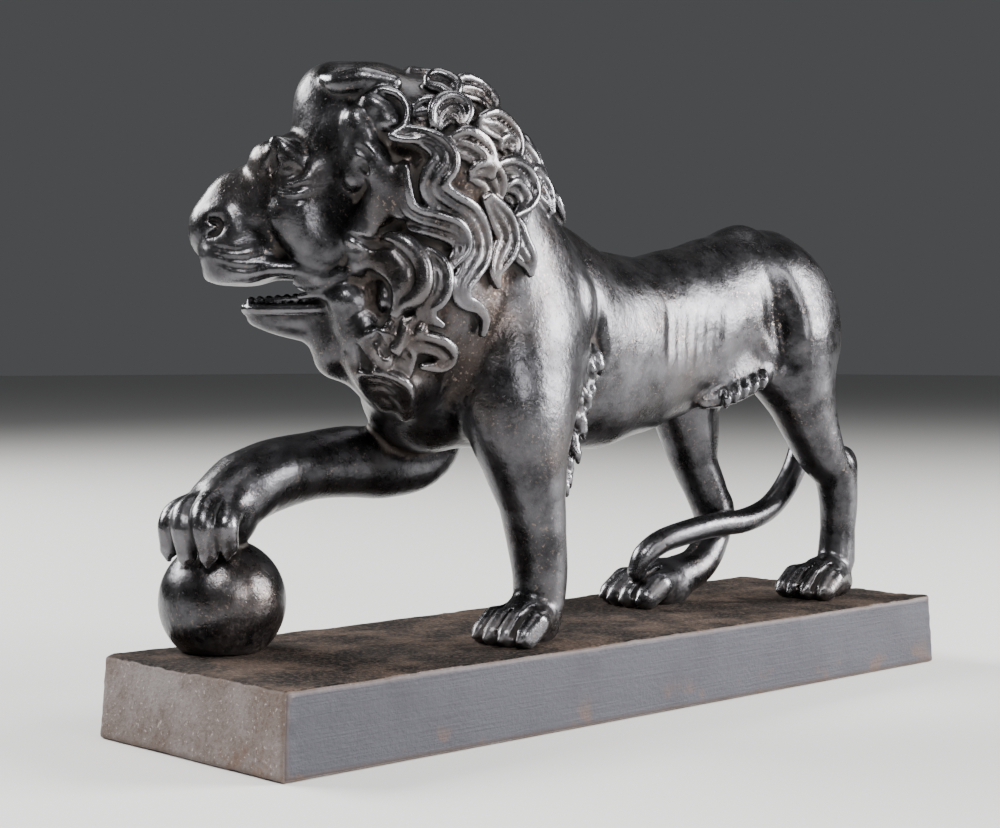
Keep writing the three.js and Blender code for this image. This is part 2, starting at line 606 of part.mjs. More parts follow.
function thin({ points, faces }, budget) {
  const around = points.map(() => new Set());
  const errors = points.map(() => new Array(10).fill(0));
  faces.forEach((face, f) => {
    const plane = planeError(points, face);
    for (const v of face) {
      around[v].add(f);
      for (let i = 0; i < 10; i += 1) errors[v][i] += plane[i];
    }
  });
  const version = new Int32Array(points.length);
  const heap = [];
  function push(item) {
    let i = heap.push(item) - 1;
    while (i > 0 && heap[(i - 1) >> 1].cost > heap[i].cost) {
      [heap[i], heap[(i - 1) >> 1]] = [heap[(i - 1) >> 1], heap[i]];
      i = (i - 1) >> 1;
    }
  }
  function pop() {
    const first = heap[0];
    const last = heap.pop();
    if (heap.length > 0) heap[0] = last;
    for (let i = 0; ;) {
      let least = i;
      for (const child of [2 * i + 1, 2 * i + 2]) {
        if (child < heap.length && heap[child].cost < heap[least].cost) least = child;
      }
      if (least === i) return first;
      [heap[i], heap[least]] = [heap[least], heap[i]];
      i = least;
    }
  }
  function offer(a, b) {
    const both = errors[a].map((value, i) => value + errors[b][i]);
    const { point, error } = bestPoint(both, points[a], points[b]);
    const edge = subtract(points[a], points[b]);
    push({ cost: error + 2e-4 * dot(edge, edge), a, b, point, mark: version[a] + version[b] });
  }
  const neighbours = (v) => new Set([...around[v]].flatMap((f) => faces[f]).filter((w) => w !== v));
  function turns(v, other, point) {
    for (const f of around[v]) {
      if (faces[f].includes(other)) continue;
      const old = faces[f].map((w) => points[w]);
      const now = faces[f].map((w) => (w === v ? point : points[w]));
      const before = cross(subtract(old[1], old[0]), subtract(old[2], old[0]));
      const after = cross(subtract(now[1], now[0]), subtract(now[2], now[0]));
      const area = Math.sqrt(dot(after, after));
      if (dot(before, after) < 0.35 * Math.sqrt(dot(before, before)) * area) return true;
      const sides = [[0, 1], [1, 2], [2, 0]].map(([i, j]) => subtract(now[i], now[j]));
      if (area < 0.12 * Math.max(...sides.map((edge) => dot(edge, edge)))) return true;
    }
    return false;
  }
  for (let v = 0; v < points.length; v += 1) {
    for (const w of neighbours(v)) if (v < w) offer(v, w);
  }
  let left = faces.length;
  while (left > budget && heap.length > 0) {
    const { a, b, point, mark } = pop();
    if (!around[a] || !around[b] || mark !== version[a] + version[b]) continue;
    const nearA = neighbours(a);
    const shared = [...neighbours(b)].filter((v) => nearA.has(v));
    if (shared.length !== 2 || turns(a, b, point) || turns(b, a, point)) continue;
    for (const f of around[b]) {
      if (faces[f].includes(a)) {
        for (const v of faces[f]) around[v].delete(f);
        left -= 1;
      } else {
        faces[f] = faces[f].map((v) => (v === b ? a : v));
        around[a].add(f);
      }
    }
    around[b] = null;
    points[a] = point;
    for (let i = 0; i < 10; i += 1) errors[a][i] += errors[b][i];
    version[a] += 1;
    for (const v of neighbours(a)) {
      version[v] += 1;
    }
    for (const v of neighbours(a)) {
      offer(a, v);
      for (const w of neighbours(v)) if (w !== a) offer(v, w);
    }
  }
  const kept = new Set(around.flatMap((set) => (set ? [...set] : [])));
  return { points, faces: [...kept].map((f) => faces[f]) };
}

function solid({ points, faces }) {
  const number = new Map();
  const positions = [];
  const index = faces.flat().map((v) => {
    if (!number.has(v)) {
      number.set(v, positions.length / 3);
      positions.push(...points[v]);
    }
    return number.get(v);
  });
  const geometry = new THREE.BufferGeometry();
  geometry.setAttribute('position', new THREE.Float32BufferAttribute(positions, 3));
  geometry.setIndex(index);
  geometry.computeVertexNormals();
  return geometry;
}

const lion = new THREE.Mesh(
  solid(thin(meshWax(), TRIANGLE_BUDGET)),
  new THREE.MeshStandardMaterial({ color: 0x2b2b2e, roughness: 0.42, metalness: 0.85 }),
);
lion.name = 'lion_and_ball';

// The plinth: a drafted slab with small rounded corners, built up from outlines at rising heights
function outline(inset) {
  const points = [];
  const signs = [[-1, -1], [1, -1], [1, 1], [-1, 1]];
  const steps = 4;
  signs.forEach(([sx, sy], corner) => {
    const radius = Math.max(PLINTH_CORNERS[corner] - inset.round, 0.2);
    const x = sx * (PLINTH_LENGTH / 2 - inset.ends - radius);
    const y = sy * (PLINTH_WIDTH / 2 - inset.sides - radius);
    for (let i = 0; i <= steps; i += 1) {
      const angle = rad(180 + 90 * corner + (90 * i) / steps);
      points.push([x + radius * Math.cos(angle), y + radius * Math.sin(angle)]);
    }
  });
  return points;
}

function slab(levels) {
  const rings = levels.map((level) => outline(level).map(([x, y]) => [x, y, level.z]));
  const count = rings[0].length;
  const points = rings.flat();
  points.push([0, 0, levels[0].z], [0, 0, levels[levels.length - 1].z]);
  const faces = [];
  for (let i = 0; i < count; i += 1) {
    const j = (i + 1) % count;
    for (let ring = 0; ring + 1 < rings.length; ring += 1) {
      const low = ring * count;
      const high = low + count;
      faces.push([low + i, low + j, high + j], [low + i, high + j, high + i]);
    }
    const last = (rings.length - 1) * count;
    faces.push([j, i, points.length - 2], [last + i, last + j, points.length - 1]);
  }
  return solid({ points, faces });
}

const levels = [{ z: 0, ends: PLINTH_FOOT_CHAMFER, sides: PLINTH_FOOT_CHAMFER, round: 0 }];
levels.push({ z: PLINTH_FOOT_CHAMFER, ends: 0, sides: 0, round: 0 });
for (let i = 0; i <= 3; i += 1) {
  const angle = rad(30 * i);
  const inset = PLINTH_EDGE_RADIUS * (1 - Math.cos(angle));
  levels.push({
    z: PLINTH_HEIGHT - PLINTH_EDGE_RADIUS * (1 - Math.sin(angle)),
    ends: PLINTH_DRAFT_ENDS + inset,
    sides: PLINTH_DRAFT_SIDES + inset,
    round: inset,
  });
}
const plinth = new THREE.Mesh(
  slab(levels),
  new THREE.MeshStandardMaterial({ color: 0x5b5650, roughness: 0.7, metalness: 0.55 }),
);
plinth.name = 'plinth';

const statue = new THREE.Group();
statue.add(lion, plinth);

export default statue;
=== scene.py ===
"""A small cast iron lion that walks with its right fore paw on a ball, on a long low plinth.

The lion is shaped as a founder's model is, by adding lumps and rolls of wax that melt into each
other. Each lump is a signed distance in millimetres, the surface is where the distances reach
zero, and that surface is meshed. The lion looks along -X and turns its head towards +Y.
"""
import bpy
import numpy as np
from math import cos, sin, pi, radians
from mathutils import Matrix, Vector


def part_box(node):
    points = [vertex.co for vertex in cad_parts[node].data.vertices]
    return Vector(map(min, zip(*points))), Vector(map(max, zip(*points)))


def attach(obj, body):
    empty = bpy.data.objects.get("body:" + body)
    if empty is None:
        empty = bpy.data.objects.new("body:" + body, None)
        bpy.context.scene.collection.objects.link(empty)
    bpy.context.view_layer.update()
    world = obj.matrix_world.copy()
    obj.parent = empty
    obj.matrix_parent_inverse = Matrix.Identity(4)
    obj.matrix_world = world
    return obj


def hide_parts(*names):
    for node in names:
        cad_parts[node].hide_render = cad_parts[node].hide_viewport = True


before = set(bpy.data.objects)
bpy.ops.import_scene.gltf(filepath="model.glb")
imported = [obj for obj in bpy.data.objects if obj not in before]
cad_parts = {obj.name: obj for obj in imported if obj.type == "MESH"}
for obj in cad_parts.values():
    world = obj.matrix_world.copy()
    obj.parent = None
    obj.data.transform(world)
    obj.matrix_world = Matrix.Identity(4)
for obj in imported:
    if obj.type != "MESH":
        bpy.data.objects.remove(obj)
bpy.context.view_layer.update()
MM = 0.001


# The plinth: a sand cast iron slab with drafted sides, which the lion stands on. Its long sides
# are ground flat, and its ends and top are left rough, as they came from the sand.

PLINTH_LOW, PLINTH_HIGH = (np.array(corner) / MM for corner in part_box("plinth"))
PLINTH_TOP = PLINTH_HIGH[2]
PLINTH_CELL = 0.5
PLINTH_TRIANGLES = 150000
PLINTH_DRAFT = np.array((1.0, 0.6))
PLINTH_CORNER_RADII = {(-1, -1): 0.4, (1, -1): 1.6, (1, 1): 1.6, (-1, 1): 2.5}
LEAST_CORNER = 0.1
PLINTH_EDGE_RADIUS = 0.5
PLINTH_EDGE_REACH = 1.6
half_length, half_width = (PLINTH_HIGH - PLINTH_LOW)[:2] / 2

# Wax: a box of signed distances that lumps are melted into or pressed out of
FAR = 8.0
LEAST_ROOM = 1.5


class Lump:
    """A signed distance with the box that holds its surface."""

    def __init__(self, distance, low, high):
        self.distance = distance
        self.low = np.array(low, float)
        self.high = np.array(high, float)


class Wax:
    def __init__(self, low, high, cell):
        self.low = np.array(low, float)
        self.cell = cell
        self.count = np.ceil((np.array(high, float) - self.low) / cell).astype(int) + 1
        self.field = np.full(self.count, FAR, np.float32)

    def window(self, low, high):
        first = np.maximum(np.floor((low - self.low) / self.cell).astype(int), 0)
        last = np.minimum(np.ceil((high - self.low) / self.cell).astype(int) + 1, self.count)
        part = tuple(slice(a, max(a, b)) for a, b in zip(first, last))
        x, y, z = (self.low[i] + self.cell * np.arange(first[i], max(first[i], last[i]))
                   for i in range(3))
        return part, x[:, None, None], y[None, :, None], z[None, None, :]

    def melt(self, lump, blend, sign):
        margin = max(blend, LEAST_ROOM) + self.cell
        part, x, y, z = self.window(lump.low - margin, lump.high + margin)
        old = sign * self.field[part]
        new = lump.distance(x, y, z)
        h = np.maximum(blend - np.abs(old - new), 0) / blend
        self.field[part] = sign * (np.minimum(old, new) - h * h * blend / 4)

    def add(self, lump, blend=3.0):
        self.melt(lump, blend, 1)

    def press(self, lump, blend=1.0):
        self.melt(lump, blend, -1)

    def keep_within(self, low, high):
        """Cuts the wax off flat at the faces of a box."""
        axes = self.window(self.low, self.low + self.cell * self.count)[1:]
        for axis, values in enumerate(axes):
            np.maximum(self.field, (low[axis] - values).astype(np.float32), out=self.field)
            np.maximum(self.field, (values - high[axis]).astype(np.float32), out=self.field)

    def sample(self, values, points):
        """Values of a grid like the field, at points between its corners."""
        at = (points - self.low) / self.cell
        at = np.clip(at, 0, np.array(values.shape) - 1.001)
        first = at.astype(int)
        t = at - first
        total = np.zeros(len(points))
        for corner in range(8):
            step = np.array([corner & 1, (corner >> 1) & 1, corner >> 2])
            weight = np.prod(np.where(step == 1, t, 1 - t), axis=1)
            i, j, k = (first + step).T
            total += weight * values[i, j, k]
        return total

    def crowding(self, reach):
        """The share of metal within reach of each corner: half on a flat face, more in a hollow."""
        metal = np.clip(0.5 - self.field / (2 * self.cell), 0, 1).astype(np.float32)
        half = max(int(round(reach / self.cell / 2)), 1)
        for turn in range(2):
            for axis in range(3):
                padded = np.insert(np.cumsum(metal, axis=axis, dtype=np.float64), 0, 0, axis=axis)
                size = metal.shape[axis]
                ahead = np.minimum(np.arange(size) + half + 1, size)
                behind = np.maximum(np.arange(size) - half, 0)
                metal = (np.take(padded, ahead, axis=axis) - np.take(padded, behind, axis=axis))
                metal = (metal / (2 * half + 1)).astype(np.float32)
        return metal

    def mesh(self):
        """One vertex in each cell that the surface crosses, one quad for each crossed edge."""
        field = self.field
        inside = field < 0
        corners = [(c & 1, (c >> 1) & 1, c >> 2) for c in range(8)]
        n = np.array(field.shape) - 1

        def shifted(array, c):
            return array[c[0]:c[0] + n[0], c[1]:c[1] + n[1], c[2]:c[2] + n[2]]

        filled = sum(shifted(inside, c).astype(np.int8) for c in corners)
        cells = np.argwhere((filled > 0) & (filled < 8))
        values = [field[tuple((cells + c).T)] for c in corners]
        total = np.zeros((len(cells), 3))
        crossings = np.zeros(len(cells))
        for a in range(8):
            for axis in range(3):
                b = a | (1 << axis)
                if b == a:
                    continue
                cut = (values[a] < 0) != (values[b] < 0)
                with np.errstate(divide="ignore", invalid="ignore"):
                    t = np.where(cut, values[a] / (values[a] - values[b]), 0)
                for i in range(3):
                    total[:, i] += cut * (corners[a][i] + (t if i == axis else 0))
                crossings += cut
        points = self.low + self.cell * (cells + total / crossings[:, None])
        vertex = np.full(n, -1, np.int32)
        vertex[tuple(cells.T)] = np.arange(len(cells))
        quads = []
        for axis in range(3):
            step = np.eye(3, dtype=int)
            u = step[(axis + 1) % 3]
            v = step[(axis + 2) % 3]
            near = inside[tuple(slice(0, n[i]) for i in range(3))]
            far = inside[tuple(slice(step[axis][i], n[i] + step[axis][i]) for i in range(3))]
            at = np.argwhere(near != far)
            at = at[np.all(at >= 1, axis=1)]
            ring = np.stack([vertex[tuple((at - shift).T)] for shift in (u + v, v, 0 * u, u)], 1)
            outward = near[tuple(at.T)]
            ring[~outward] = ring[~outward][:, ::-1]
            quads.append(ring[np.all(ring >= 0, axis=1)])
        return points, np.concatenate(quads)


def ellipsoid(centre, radii, yaw=0.0, pitch=0.0):
    turn = Matrix.Rotation(radians(yaw), 3, "Z") @ Matrix.Rotation(radians(pitch), 3, "Y")
    rows = np.array(turn.transposed())
    a, b, c = radii

    def distance(x, y, z):
        px, py, pz = x - centre[0], y - centre[1], z - centre[2]
        u, v, w = ((row[0] * px + row[1] * py + row[2] * pz) / radius
                   for row, radius in zip(rows, radii))
        scaled = np.sqrt(u * u + v * v + w * w)
        slope = np.sqrt((u / a) ** 2 + (v / b) ** 2 + (w / c) ** 2)
        return scaled * (scaled - 1) / np.maximum(slope, 1e-6)

    reach = max(radii)
    return Lump(distance, np.array(centre) - reach, np.array(centre) + reach)


NOISE_CELLS = 32


def ripples(points, size, seed):
    """Smooth noise from -1 to 1 whose features are size millimetres across."""
    table = np.random.default_rng(seed).uniform(-1, 1, (NOISE_CELLS,) * 3)
    at = points / size
    first = np.floor(at).astype(int)
    t = at - first
    t = t * t * (3 - 2 * t)
    total = np.zeros(points.shape[:-1])
    for corner in range(8):
        step = np.array([corner & 1, (corner >> 1) & 1, corner >> 2])
        weight = np.prod(np.where(step == 1, t, 1 - t), axis=-1)
        i, j, k = np.moveaxis((first + step) % NOISE_CELLS, -1, 0)
        total += weight * table[i, j, k]
    return total


def smooth_step(low, high, value):
    t = np.clip((value - low) / (high - low), 0, 1)
    return t * t * (3 - 2 * t)


def iron_piece(name, wax, budget, marks):
    """The wax as a Blender mesh in metres, thinned to its budget of triangles. Each mark is a
    number kept at every vertex for the material to read."""
    points, quads = wax.mesh()
    mesh = bpy.data.meshes.new(name)
    mesh.vertices.add(len(points))
    mesh.vertices.foreach_set("co", (points * MM).ravel())
    mesh.loops.add(quads.size)
    mesh.loops.foreach_set("vertex_index", quads.ravel())
    mesh.polygons.add(len(quads))
    mesh.polygons.foreach_set("loop_start", np.arange(0, quads.size, 4))
    mesh.update(calc_edges=True)
    piece = bpy.data.objects.new(name, mesh)
    bpy.context.collection.objects.link(piece)
    thinner = piece.modifiers.new("thin", "DECIMATE")
    thinner.ratio = min(1.0, budget / (2 * len(quads)))
    bpy.context.view_layer.update()
    shape = piece.evaluated_get(bpy.context.evaluated_depsgraph_get())
    piece.data = bpy.data.meshes.new_from_object(shape)
    piece.data.name = name
    piece.modifiers.clear()
    bpy.data.meshes.remove(mesh)
    piece.data.shade_smooth()
    places = np.empty(3 * len(piece.data.vertices))
    piece.data.vertices.foreach_get("co", places)
    places = places.reshape(-1, 3) / MM
    for mark, values in marks.items():
        layer = piece.data.attributes.new(mark, "FLOAT", "POINT")
        layer.data.foreach_set("value", wax.sample(values, places).astype(np.float32))
    print(name, "triangles", sum(len(p.vertices) - 2 for p in piece.data.polygons))
    return piece


def slab_distance(x, y, z):
    up = np.clip(z / PLINTH_TOP, 0, 1)
    radius = sum(r * (np.sign(x) == sx) * (np.sign(y) == sy)
                 for (sx, sy), r in PLINTH_CORNER_RADII.items()) + LEAST_CORNER
    u = np.abs(x) - (half_length - PLINTH_DRAFT[0] * up) + radius
    v = np.abs(y) - (half_width - PLINTH_DRAFT[1] * up) + radius
    across = np.hypot(np.maximum(u, 0), np.maximum(v, 0)) + np.minimum(np.maximum(u, v), 0) - radius
    upright = np.maximum(z - PLINTH_TOP, -z)
    a, b = across + PLINTH_EDGE_RADIUS, upright + PLINTH_EDGE_RADIUS
    return (np.hypot(np.maximum(a, 0), np.maximum(b, 0)) + np.minimum(np.maximum(a, b), 0)
            - PLINTH_EDGE_RADIUS)


slab = Wax(PLINTH_LOW - 2, PLINTH_HIGH + 2, PLINTH_CELL)
slab.add(Lump(slab_distance, PLINTH_LOW, PLINTH_HIGH), 0.1)
# Shallow swellings where the feet and the ball stand
for x, y, reach in ((-27, -15, 11), (68, -11, 11), (32, 5.5, 12), (-71, 15, 8)):
    slab.add(ellipsoid((x, y, PLINTH_TOP - 1.2), (reach, reach * 0.75, 1.6)), 1.2)
# Cast skin: rough at the ends, gently uneven on top, and nearly flat on the ground sides
shell = np.abs(slab.field) < 3
spots = slab.low + slab.cell * np.argwhere(shell)
rough_end = smooth_step(half_length - 3.5, half_length - 1.5, np.abs(spots[:, 0]))
top_face = smooth_step(PLINTH_TOP - 1.5, PLINTH_TOP - 0.3, spots[:, 2])
uneven = (ripples(spots, 1.1, 5) * (0.10 * rough_end + 0.03 * top_face)
          + ripples(spots, 2.6, 6) * (0.10 * rough_end + 0.07 * top_face)
          + ripples(spots, 9.0, 7) * (0.10 * rough_end + 0.12 * top_face + 0.04))
slab.field[shell] += (uneven + 0.06).astype(np.float32)
slab.keep_within(PLINTH_LOW, PLINTH_HIGH + (0, 0, 0.6))
plinth_marks = {"edge": slab.crowding(PLINTH_EDGE_REACH)}
plinth = iron_piece("iron_plinth", slab, PLINTH_TRIANGLES, plinth_marks)
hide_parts("plinth")
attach(plinth, "root")


class Value:
    """A shader socket that can be added, multiplied and so on with numbers and other sockets."""

    def __init__(self, tree, socket):
        self.tree = tree
        self.socket = socket

    def combine(self, operation, first, second):
        node = self.tree.nodes.new("ShaderNodeMath")
        node.operation = operation
        for socket, value in zip(node.inputs, (first, second)):
            if isinstance(value, Value):
                self.tree.links.new(value.socket, socket)
            else:
                socket.default_value = value
        return Value(self.tree, node.outputs[0])

    def __add__(self, other):
        return self.combine("ADD", self, other)

    def __radd__(self, other):
        return self.combine("ADD", other, self)

    def __sub__(self, other):
        return self.combine("SUBTRACT", self, other)

    def __rsub__(self, other):
        return self.combine("SUBTRACT", other, self)

    def __mul__(self, other):
        return self.combine("MULTIPLY", self, other)

    def __rmul__(self, other):
        return self.combine("MULTIPLY", other, self)

    def clamped(self):
        return self.combine("MINIMUM", self.combine("MAXIMUM", self, 0), 1)


class Surface:
    """A material whose nodes are added one by one and fed to its Principled shader."""

    def __init__(self, name):
        self.material = bpy.data.materials.new(name)
        self.material.use_nodes = True
        self.tree = self.material.node_tree
        self.shader = self.tree.nodes["Principled BSDF"]
        self.place = self.node("ShaderNodeTexCoord", output="Object")

    def feed(self, socket, value):
        if isinstance(value, Value):
            self.tree.links.new(value.socket, socket)
        else:
            socket.default_value = value

    def node(self, kind, settings=None, inputs=None, output=0):
        """A node of any kind: its settings first, then the values or links of its sockets."""
        node = self.tree.nodes.new(kind)
        for name, value in (settings or {}).items():
            setattr(node, name, value)
        for name, value in (inputs or {}).items():
            self.feed(node.inputs[name], value)
        return Value(self.tree, node.outputs[output])

    def stretched(self, scale):
        return self.node("ShaderNodeMapping", inputs={"Vector": self.place, "Scale": scale})

    def noise(self, scale, detail=3.0, roughness=0.5, place=None):
        return self.node("ShaderNodeTexNoise", inputs={
            "Vector": place or self.place, "Scale": scale, "Detail": detail,
            "Roughness": roughness})

    def mark(self, name):
        return self.node("ShaderNodeAttribute", {"attribute_name": name}, output="Fac")

    def rise(self, value, low, high):
        """From 0 to 1, smoothly, as the value goes from low to high."""
        return self.node("ShaderNodeMapRange", {"interpolation_type": "SMOOTHSTEP"}, {
            "Value": value, "From Min": low, "From Max": high}, output="Result")

    def blend(self, share, first, second):
        """Two colours mixed by a share from 0 to 1. The colour sockets of this node share their
        names with others, so they are counted: 6 and 7 in, 2 out."""
        return self.node("ShaderNodeMix", {"data_type": "RGBA"}, {0: share, 6: first, 7: second},
                         output=2)

    def bump(self, height, distance, strength=1.0):
        return self.node("ShaderNodeBump", inputs={
            "Height": height, "Distance": distance, "Strength": strength}, output="Normal")

    def set(self, **sockets):
        for name, value in sockets.items():
            self.feed(self.shader.inputs[name.replace("_", " ")], value)
        return self.material


GROUND_GREY = (0.056, 0.056, 0.065, 1)
GROUND_DARK = (0.034, 0.033, 0.039, 1)
CAST_GREY = (0.215, 0.190, 0.185, 1)
CAST_BROWN = (0.120, 0.088, 0.074, 1)
PALE_GRAIN = (0.42, 0.37, 0.34, 1)
RUST = (0.13, 0.068, 0.038, 1)
TOP_BROWN = (0.003, 0.0022, 0.002, 1)
TOP_SAND = (0.080, 0.055, 0.042, 1)


def plinth_iron():
    s = Surface("plinth_iron")
    normal = s.node("ShaderNodeNewGeometry", output="Normal")
    sideways = s.node("ShaderNodeSeparateXYZ", inputs={"Vector": normal}, output="Y")
    upward = s.node("ShaderNodeSeparateXYZ", inputs={"Vector": normal}, output="Z")
    height = s.node("ShaderNodeSeparateXYZ", inputs={"Vector": s.place}, output="Z")
    ground = s.rise(sideways * sideways, 0.55, 0.85)
    top = s.rise(upward, 0.5, 0.85)
    clouds = s.noise(70, 5, 0.65)
    grain = s.noise(1300, 3, 0.65)
    crumbs = s.rise(s.noise(1500, 2, 0.5), 0.63, 0.70)
    scratches = s.noise(2600, 2, 0.5, s.stretched((0.02, 1, 1)))
    rusty = (s.rise(s.noise(110, 3, 0.6), 0.56, 0.66) * s.rise(height, 0.007, 0.001)).clamped()
    stained = (s.rise(clouds, 0.32, 0.66) * 0.8 + s.rise(grain, 0.45, 0.7) * 0.35).clamped()
    cast = s.blend(stained, CAST_GREY, CAST_BROWN)
    cast = s.blend(crumbs * 0.6, cast, PALE_GRAIN)
    cast = s.blend(rusty * 0.5, cast, RUST)
    sandy = (s.rise(clouds, 0.42, 0.64) * 0.55 + s.rise(grain, 0.46, 0.62) * 0.45).clamped()
    cast = s.blend(top, cast, s.blend(sandy, TOP_BROWN, TOP_SAND))
    ground_colour = s.blend(s.rise(scratches, 0.3, 0.75) * 0.16 + s.rise(clouds, 0.4, 0.7) * 0.35,
                            GROUND_GREY, GROUND_DARK)
    ground_colour = s.blend(rusty * 0.35, ground_colour, RUST)
    worn_edge = s.rise(s.mark("edge"), 0.44, 0.36)
    colour = s.blend(ground, cast, ground_colour)
    colour = s.blend(worn_edge * 0.35 * (1 - top), colour, CAST_BROWN)
    relief = grain * (1 - ground * 0.75) + scratches * ground * 0.12
    return s.set(Base_Color=colour, Roughness=(0.78 + grain * 0.15 - ground * 0.30).clamped(),
                 Metallic=(ground * 0.55).clamped(), Specular_IOR_Level=0.15,
                 Normal=s.bump(relief, 0.00035, 0.9))


plinth.data.materials.append(plinth_iron())


# The lion and its ball: one iron casting, poured in sand from a carved pattern, then filed,
# blackened and rubbed. Its feet and ball stand on the plinth's top, where dust has settled.

LION_LOW, LION_HIGH = (np.array(corner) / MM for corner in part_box("lion_and_ball"))
LION_CELL = 0.38
LION_TRIANGLES = 195000
BALL_RADIUS = 11.3
BALL_CENTRE = (-71, 15, 23.4)
HEAD_YAW = 41
HEAD_PIVOT = (-46, -0.5)
TAIL_RADIUS = 2.6
BOTH_SIDES = (-1, 1)


def chain(path):
    """A roll along straight steps. Each stop is x, y, z, radius and perhaps flatness."""
    stops = [tuple(stop) + (1.0,) * (5 - len(stop)) for stop in path]

    def distance(x, y, z):
        best = None
        for p, q in zip(stops, stops[1:]):
            ax, ay, az = q[0] - p[0], q[1] - p[1], q[2] - p[2]
            bx, by, bz = x - p[0], y - p[1], z - p[2]
            t = np.clip((ax * bx + ay * by + az * bz) / (ax * ax + ay * ay + az * az), 0, 1)
            flat = p[4] + t * (q[4] - p[4])
            span = np.sqrt((bx - t * ax) ** 2 + ((by - t * ay) / flat) ** 2 + (bz - t * az) ** 2)
            d = (span - p[3] - t * (q[3] - p[3])) * np.minimum(1, flat)
            best = d if best is None else np.minimum(best, d)
        return best

    low = np.min([np.array(stop[:3]) - stop[3] for stop in stops], axis=0)
    high = np.max([np.array(stop[:3]) + stop[3] for stop in stops], axis=0)
    return Lump(distance, low, high)


def smooth_curve(knots, steps):
    """Points along a centripetal Catmull-Rom curve through the knots' places."""
    points = [np.array(k[:3], float) for k in knots]
    points.insert(0, 2 * points[0] - points[1])
    points.append(2 * points[-1] - points[-2])
    out = []
    for i in range(len(knots) - 1):
        p0, p1, p2, p3 = points[i:i + 4]
        gaps = [max(np.linalg.norm(b - a) ** 0.5, 1e-4) for a, b in ((p0, p1), (p1, p2), (p2, p3))]
        d0, d1, d2 = gaps
        m1 = ((p1 - p0) / d0 - (p2 - p0) / (d0 + d1) + (p2 - p1) / d1) * d1
        m2 = ((p2 - p1) / d1 - (p3 - p1) / (d1 + d2) + (p3 - p2) / d2) * d1
        last = i == len(knots) - 2
        for step in range(steps + (1 if last else 0)):
            t = step / steps
            out.append((2 * t ** 3 - 3 * t ** 2 + 1) * p1 + (t ** 3 - 2 * t ** 2 + t) * m1
                       + (3 * t ** 2 - 2 * t ** 3) * p2 + (t ** 3 - t ** 2) * m2)
    return out


def roll(knots, steps=6):
    """A roll of varying thickness along a smooth curve of knots x, y, z, radius, flatness."""
    knots = [tuple(k) + (1.0,) * (5 - len(k)) for k in knots]
    path = []
    for i, point in enumerate(smooth_curve(knots, steps)):
        k = min(i // steps, len(knots) - 2)
        t = i / steps - k
        radius = knots[k][3] + t * (knots[k + 1][3] - knots[k][3])
        flat = knots[k][4] + t * (knots[k + 1][4] - knots[k][4])
        path.append((*point, radius, flat))
    return chain(path)


def barrel(sections, end=9.0):
    """Oval sections x, middle height, half width, half height, with domed ends."""
    places = np.array(sections, float)

    def distance(x, y, z):
        s = np.clip(x, places[0, 0], places[-1, 0])
        k = np.clip(np.searchsorted(places[:, 0], s, side="right") - 1, 0, len(places) - 2)
        raw = (s - places[k, 0]) / (places[k + 1, 0] - places[k, 0])
        t = raw * raw * (3 - 2 * raw) * 0.5 + raw * 0.5
        middle, wide, tall = (places[k, i] + t * (places[k + 1, i] - places[k, i])
                              for i in (1, 2, 3))
        u, v, w = (x - s) / end, y / wide, (z - middle) / tall
        scaled = np.sqrt(u * u + v * v + w * w)
        slope = np.sqrt((u / end) ** 2 + (v / wide) ** 2 + (w / tall) ** 2)
        return scaled * (scaled - 1) / np.maximum(slope, 1e-6)

    wide = places[:, 2].max()
    low = (places[0, 0] - end, -wide, (places[:, 1] - places[:, 3]).min())
    high = (places[-1, 0] + end, wide, (places[:, 1] + places[:, 3]).max())
    return Lump(distance, low, high)


wax = Wax(LION_LOW - 3, LION_HIGH + 3, LION_CELL)

# Trunk, from the chest to the rump
wax.add(barrel([
    (-34, 72, 14, 21), (-20, 74, 15.5, 23), (-6, 71, 15.5, 22.5), (8, 68.2, 14.2, 19.8),
    (20, 69.0, 13.2, 18.0), (32, 71.6, 12.6, 17.6), (44, 75.5, 12.6, 16.6),
    (54, 78.2, 13.2, 17.0), (62, 76.8, 12.6, 15.6),
]))
wax.add(ellipsoid((63, 0, 85.2), (9, 9, 9)), 4)
wax.add(ellipsoid((-33, 4, 62), (12, 12, 13)), 4)
wax.add(ellipsoid((-20, -1, 60), (12, 9.5, 10)), 4)

# Left fore leg, which stands
wax.add(ellipsoid((-21, -9, 76), (14, 8.5, 19), 0, 12), 3)
wax.add(roll([
    (-22, -11, 68, 15, 0.6), (-25, -13.5, 58, 12.2, 0.72), (-25, -14.5, 50, 8.9, 0.86),
    (-23.4, -15, 41, 6.4, 0.95), (-22.2, -15, 34, 5.6), (-21.2, -15, 27, 5.1),
    (-21.4, -15, 22, 4.8),
]), 3)

# Right fore leg, raised, with its paw on the ball
wax.add(ellipsoid((-21, 9, 74), (14, 8.5, 19), 0, 12), 3)
wax.add(roll([
    (-26, 11, 66, 12.5, 0.65), (-24, 12.5, 55, 8.5, 0.8), (-26, 13, 48.5, 6.6, 0.95),
    (-34, 13.7, 46.6, 6.6), (-43, 14.2, 47.2, 6.7), (-52, 14.7, 46.6, 6.2), (-60, 15, 45.2, 6.4),
    (-66.5, 15, 43.2, 6.6), (-72, 14.5, 40.5, 5.6),
]), 3)

# Left hind leg, which stands back
wax.add(ellipsoid((61.4, -7.8, 73), (15.4, 8.8, 17.5), 0, -18), 4)
wax.add(roll([
    (60, -9.5, 70, 10.5, 0.75), (63, -10, 60, 8.4, 0.85), (66.5, -10.5, 52, 6.6, 0.9),
    (70, -10.8, 46, 5.4), (74.6, -11, 41, 4.6), (75.9, -11, 35.2, 4.2), (75.7, -11, 29, 3.8),
    (75.2, -11, 22.5, 4.1),
]), 3)
wax.add(ellipsoid((77.6, -11, 43), (3.2, 3, 4.2)), 2)

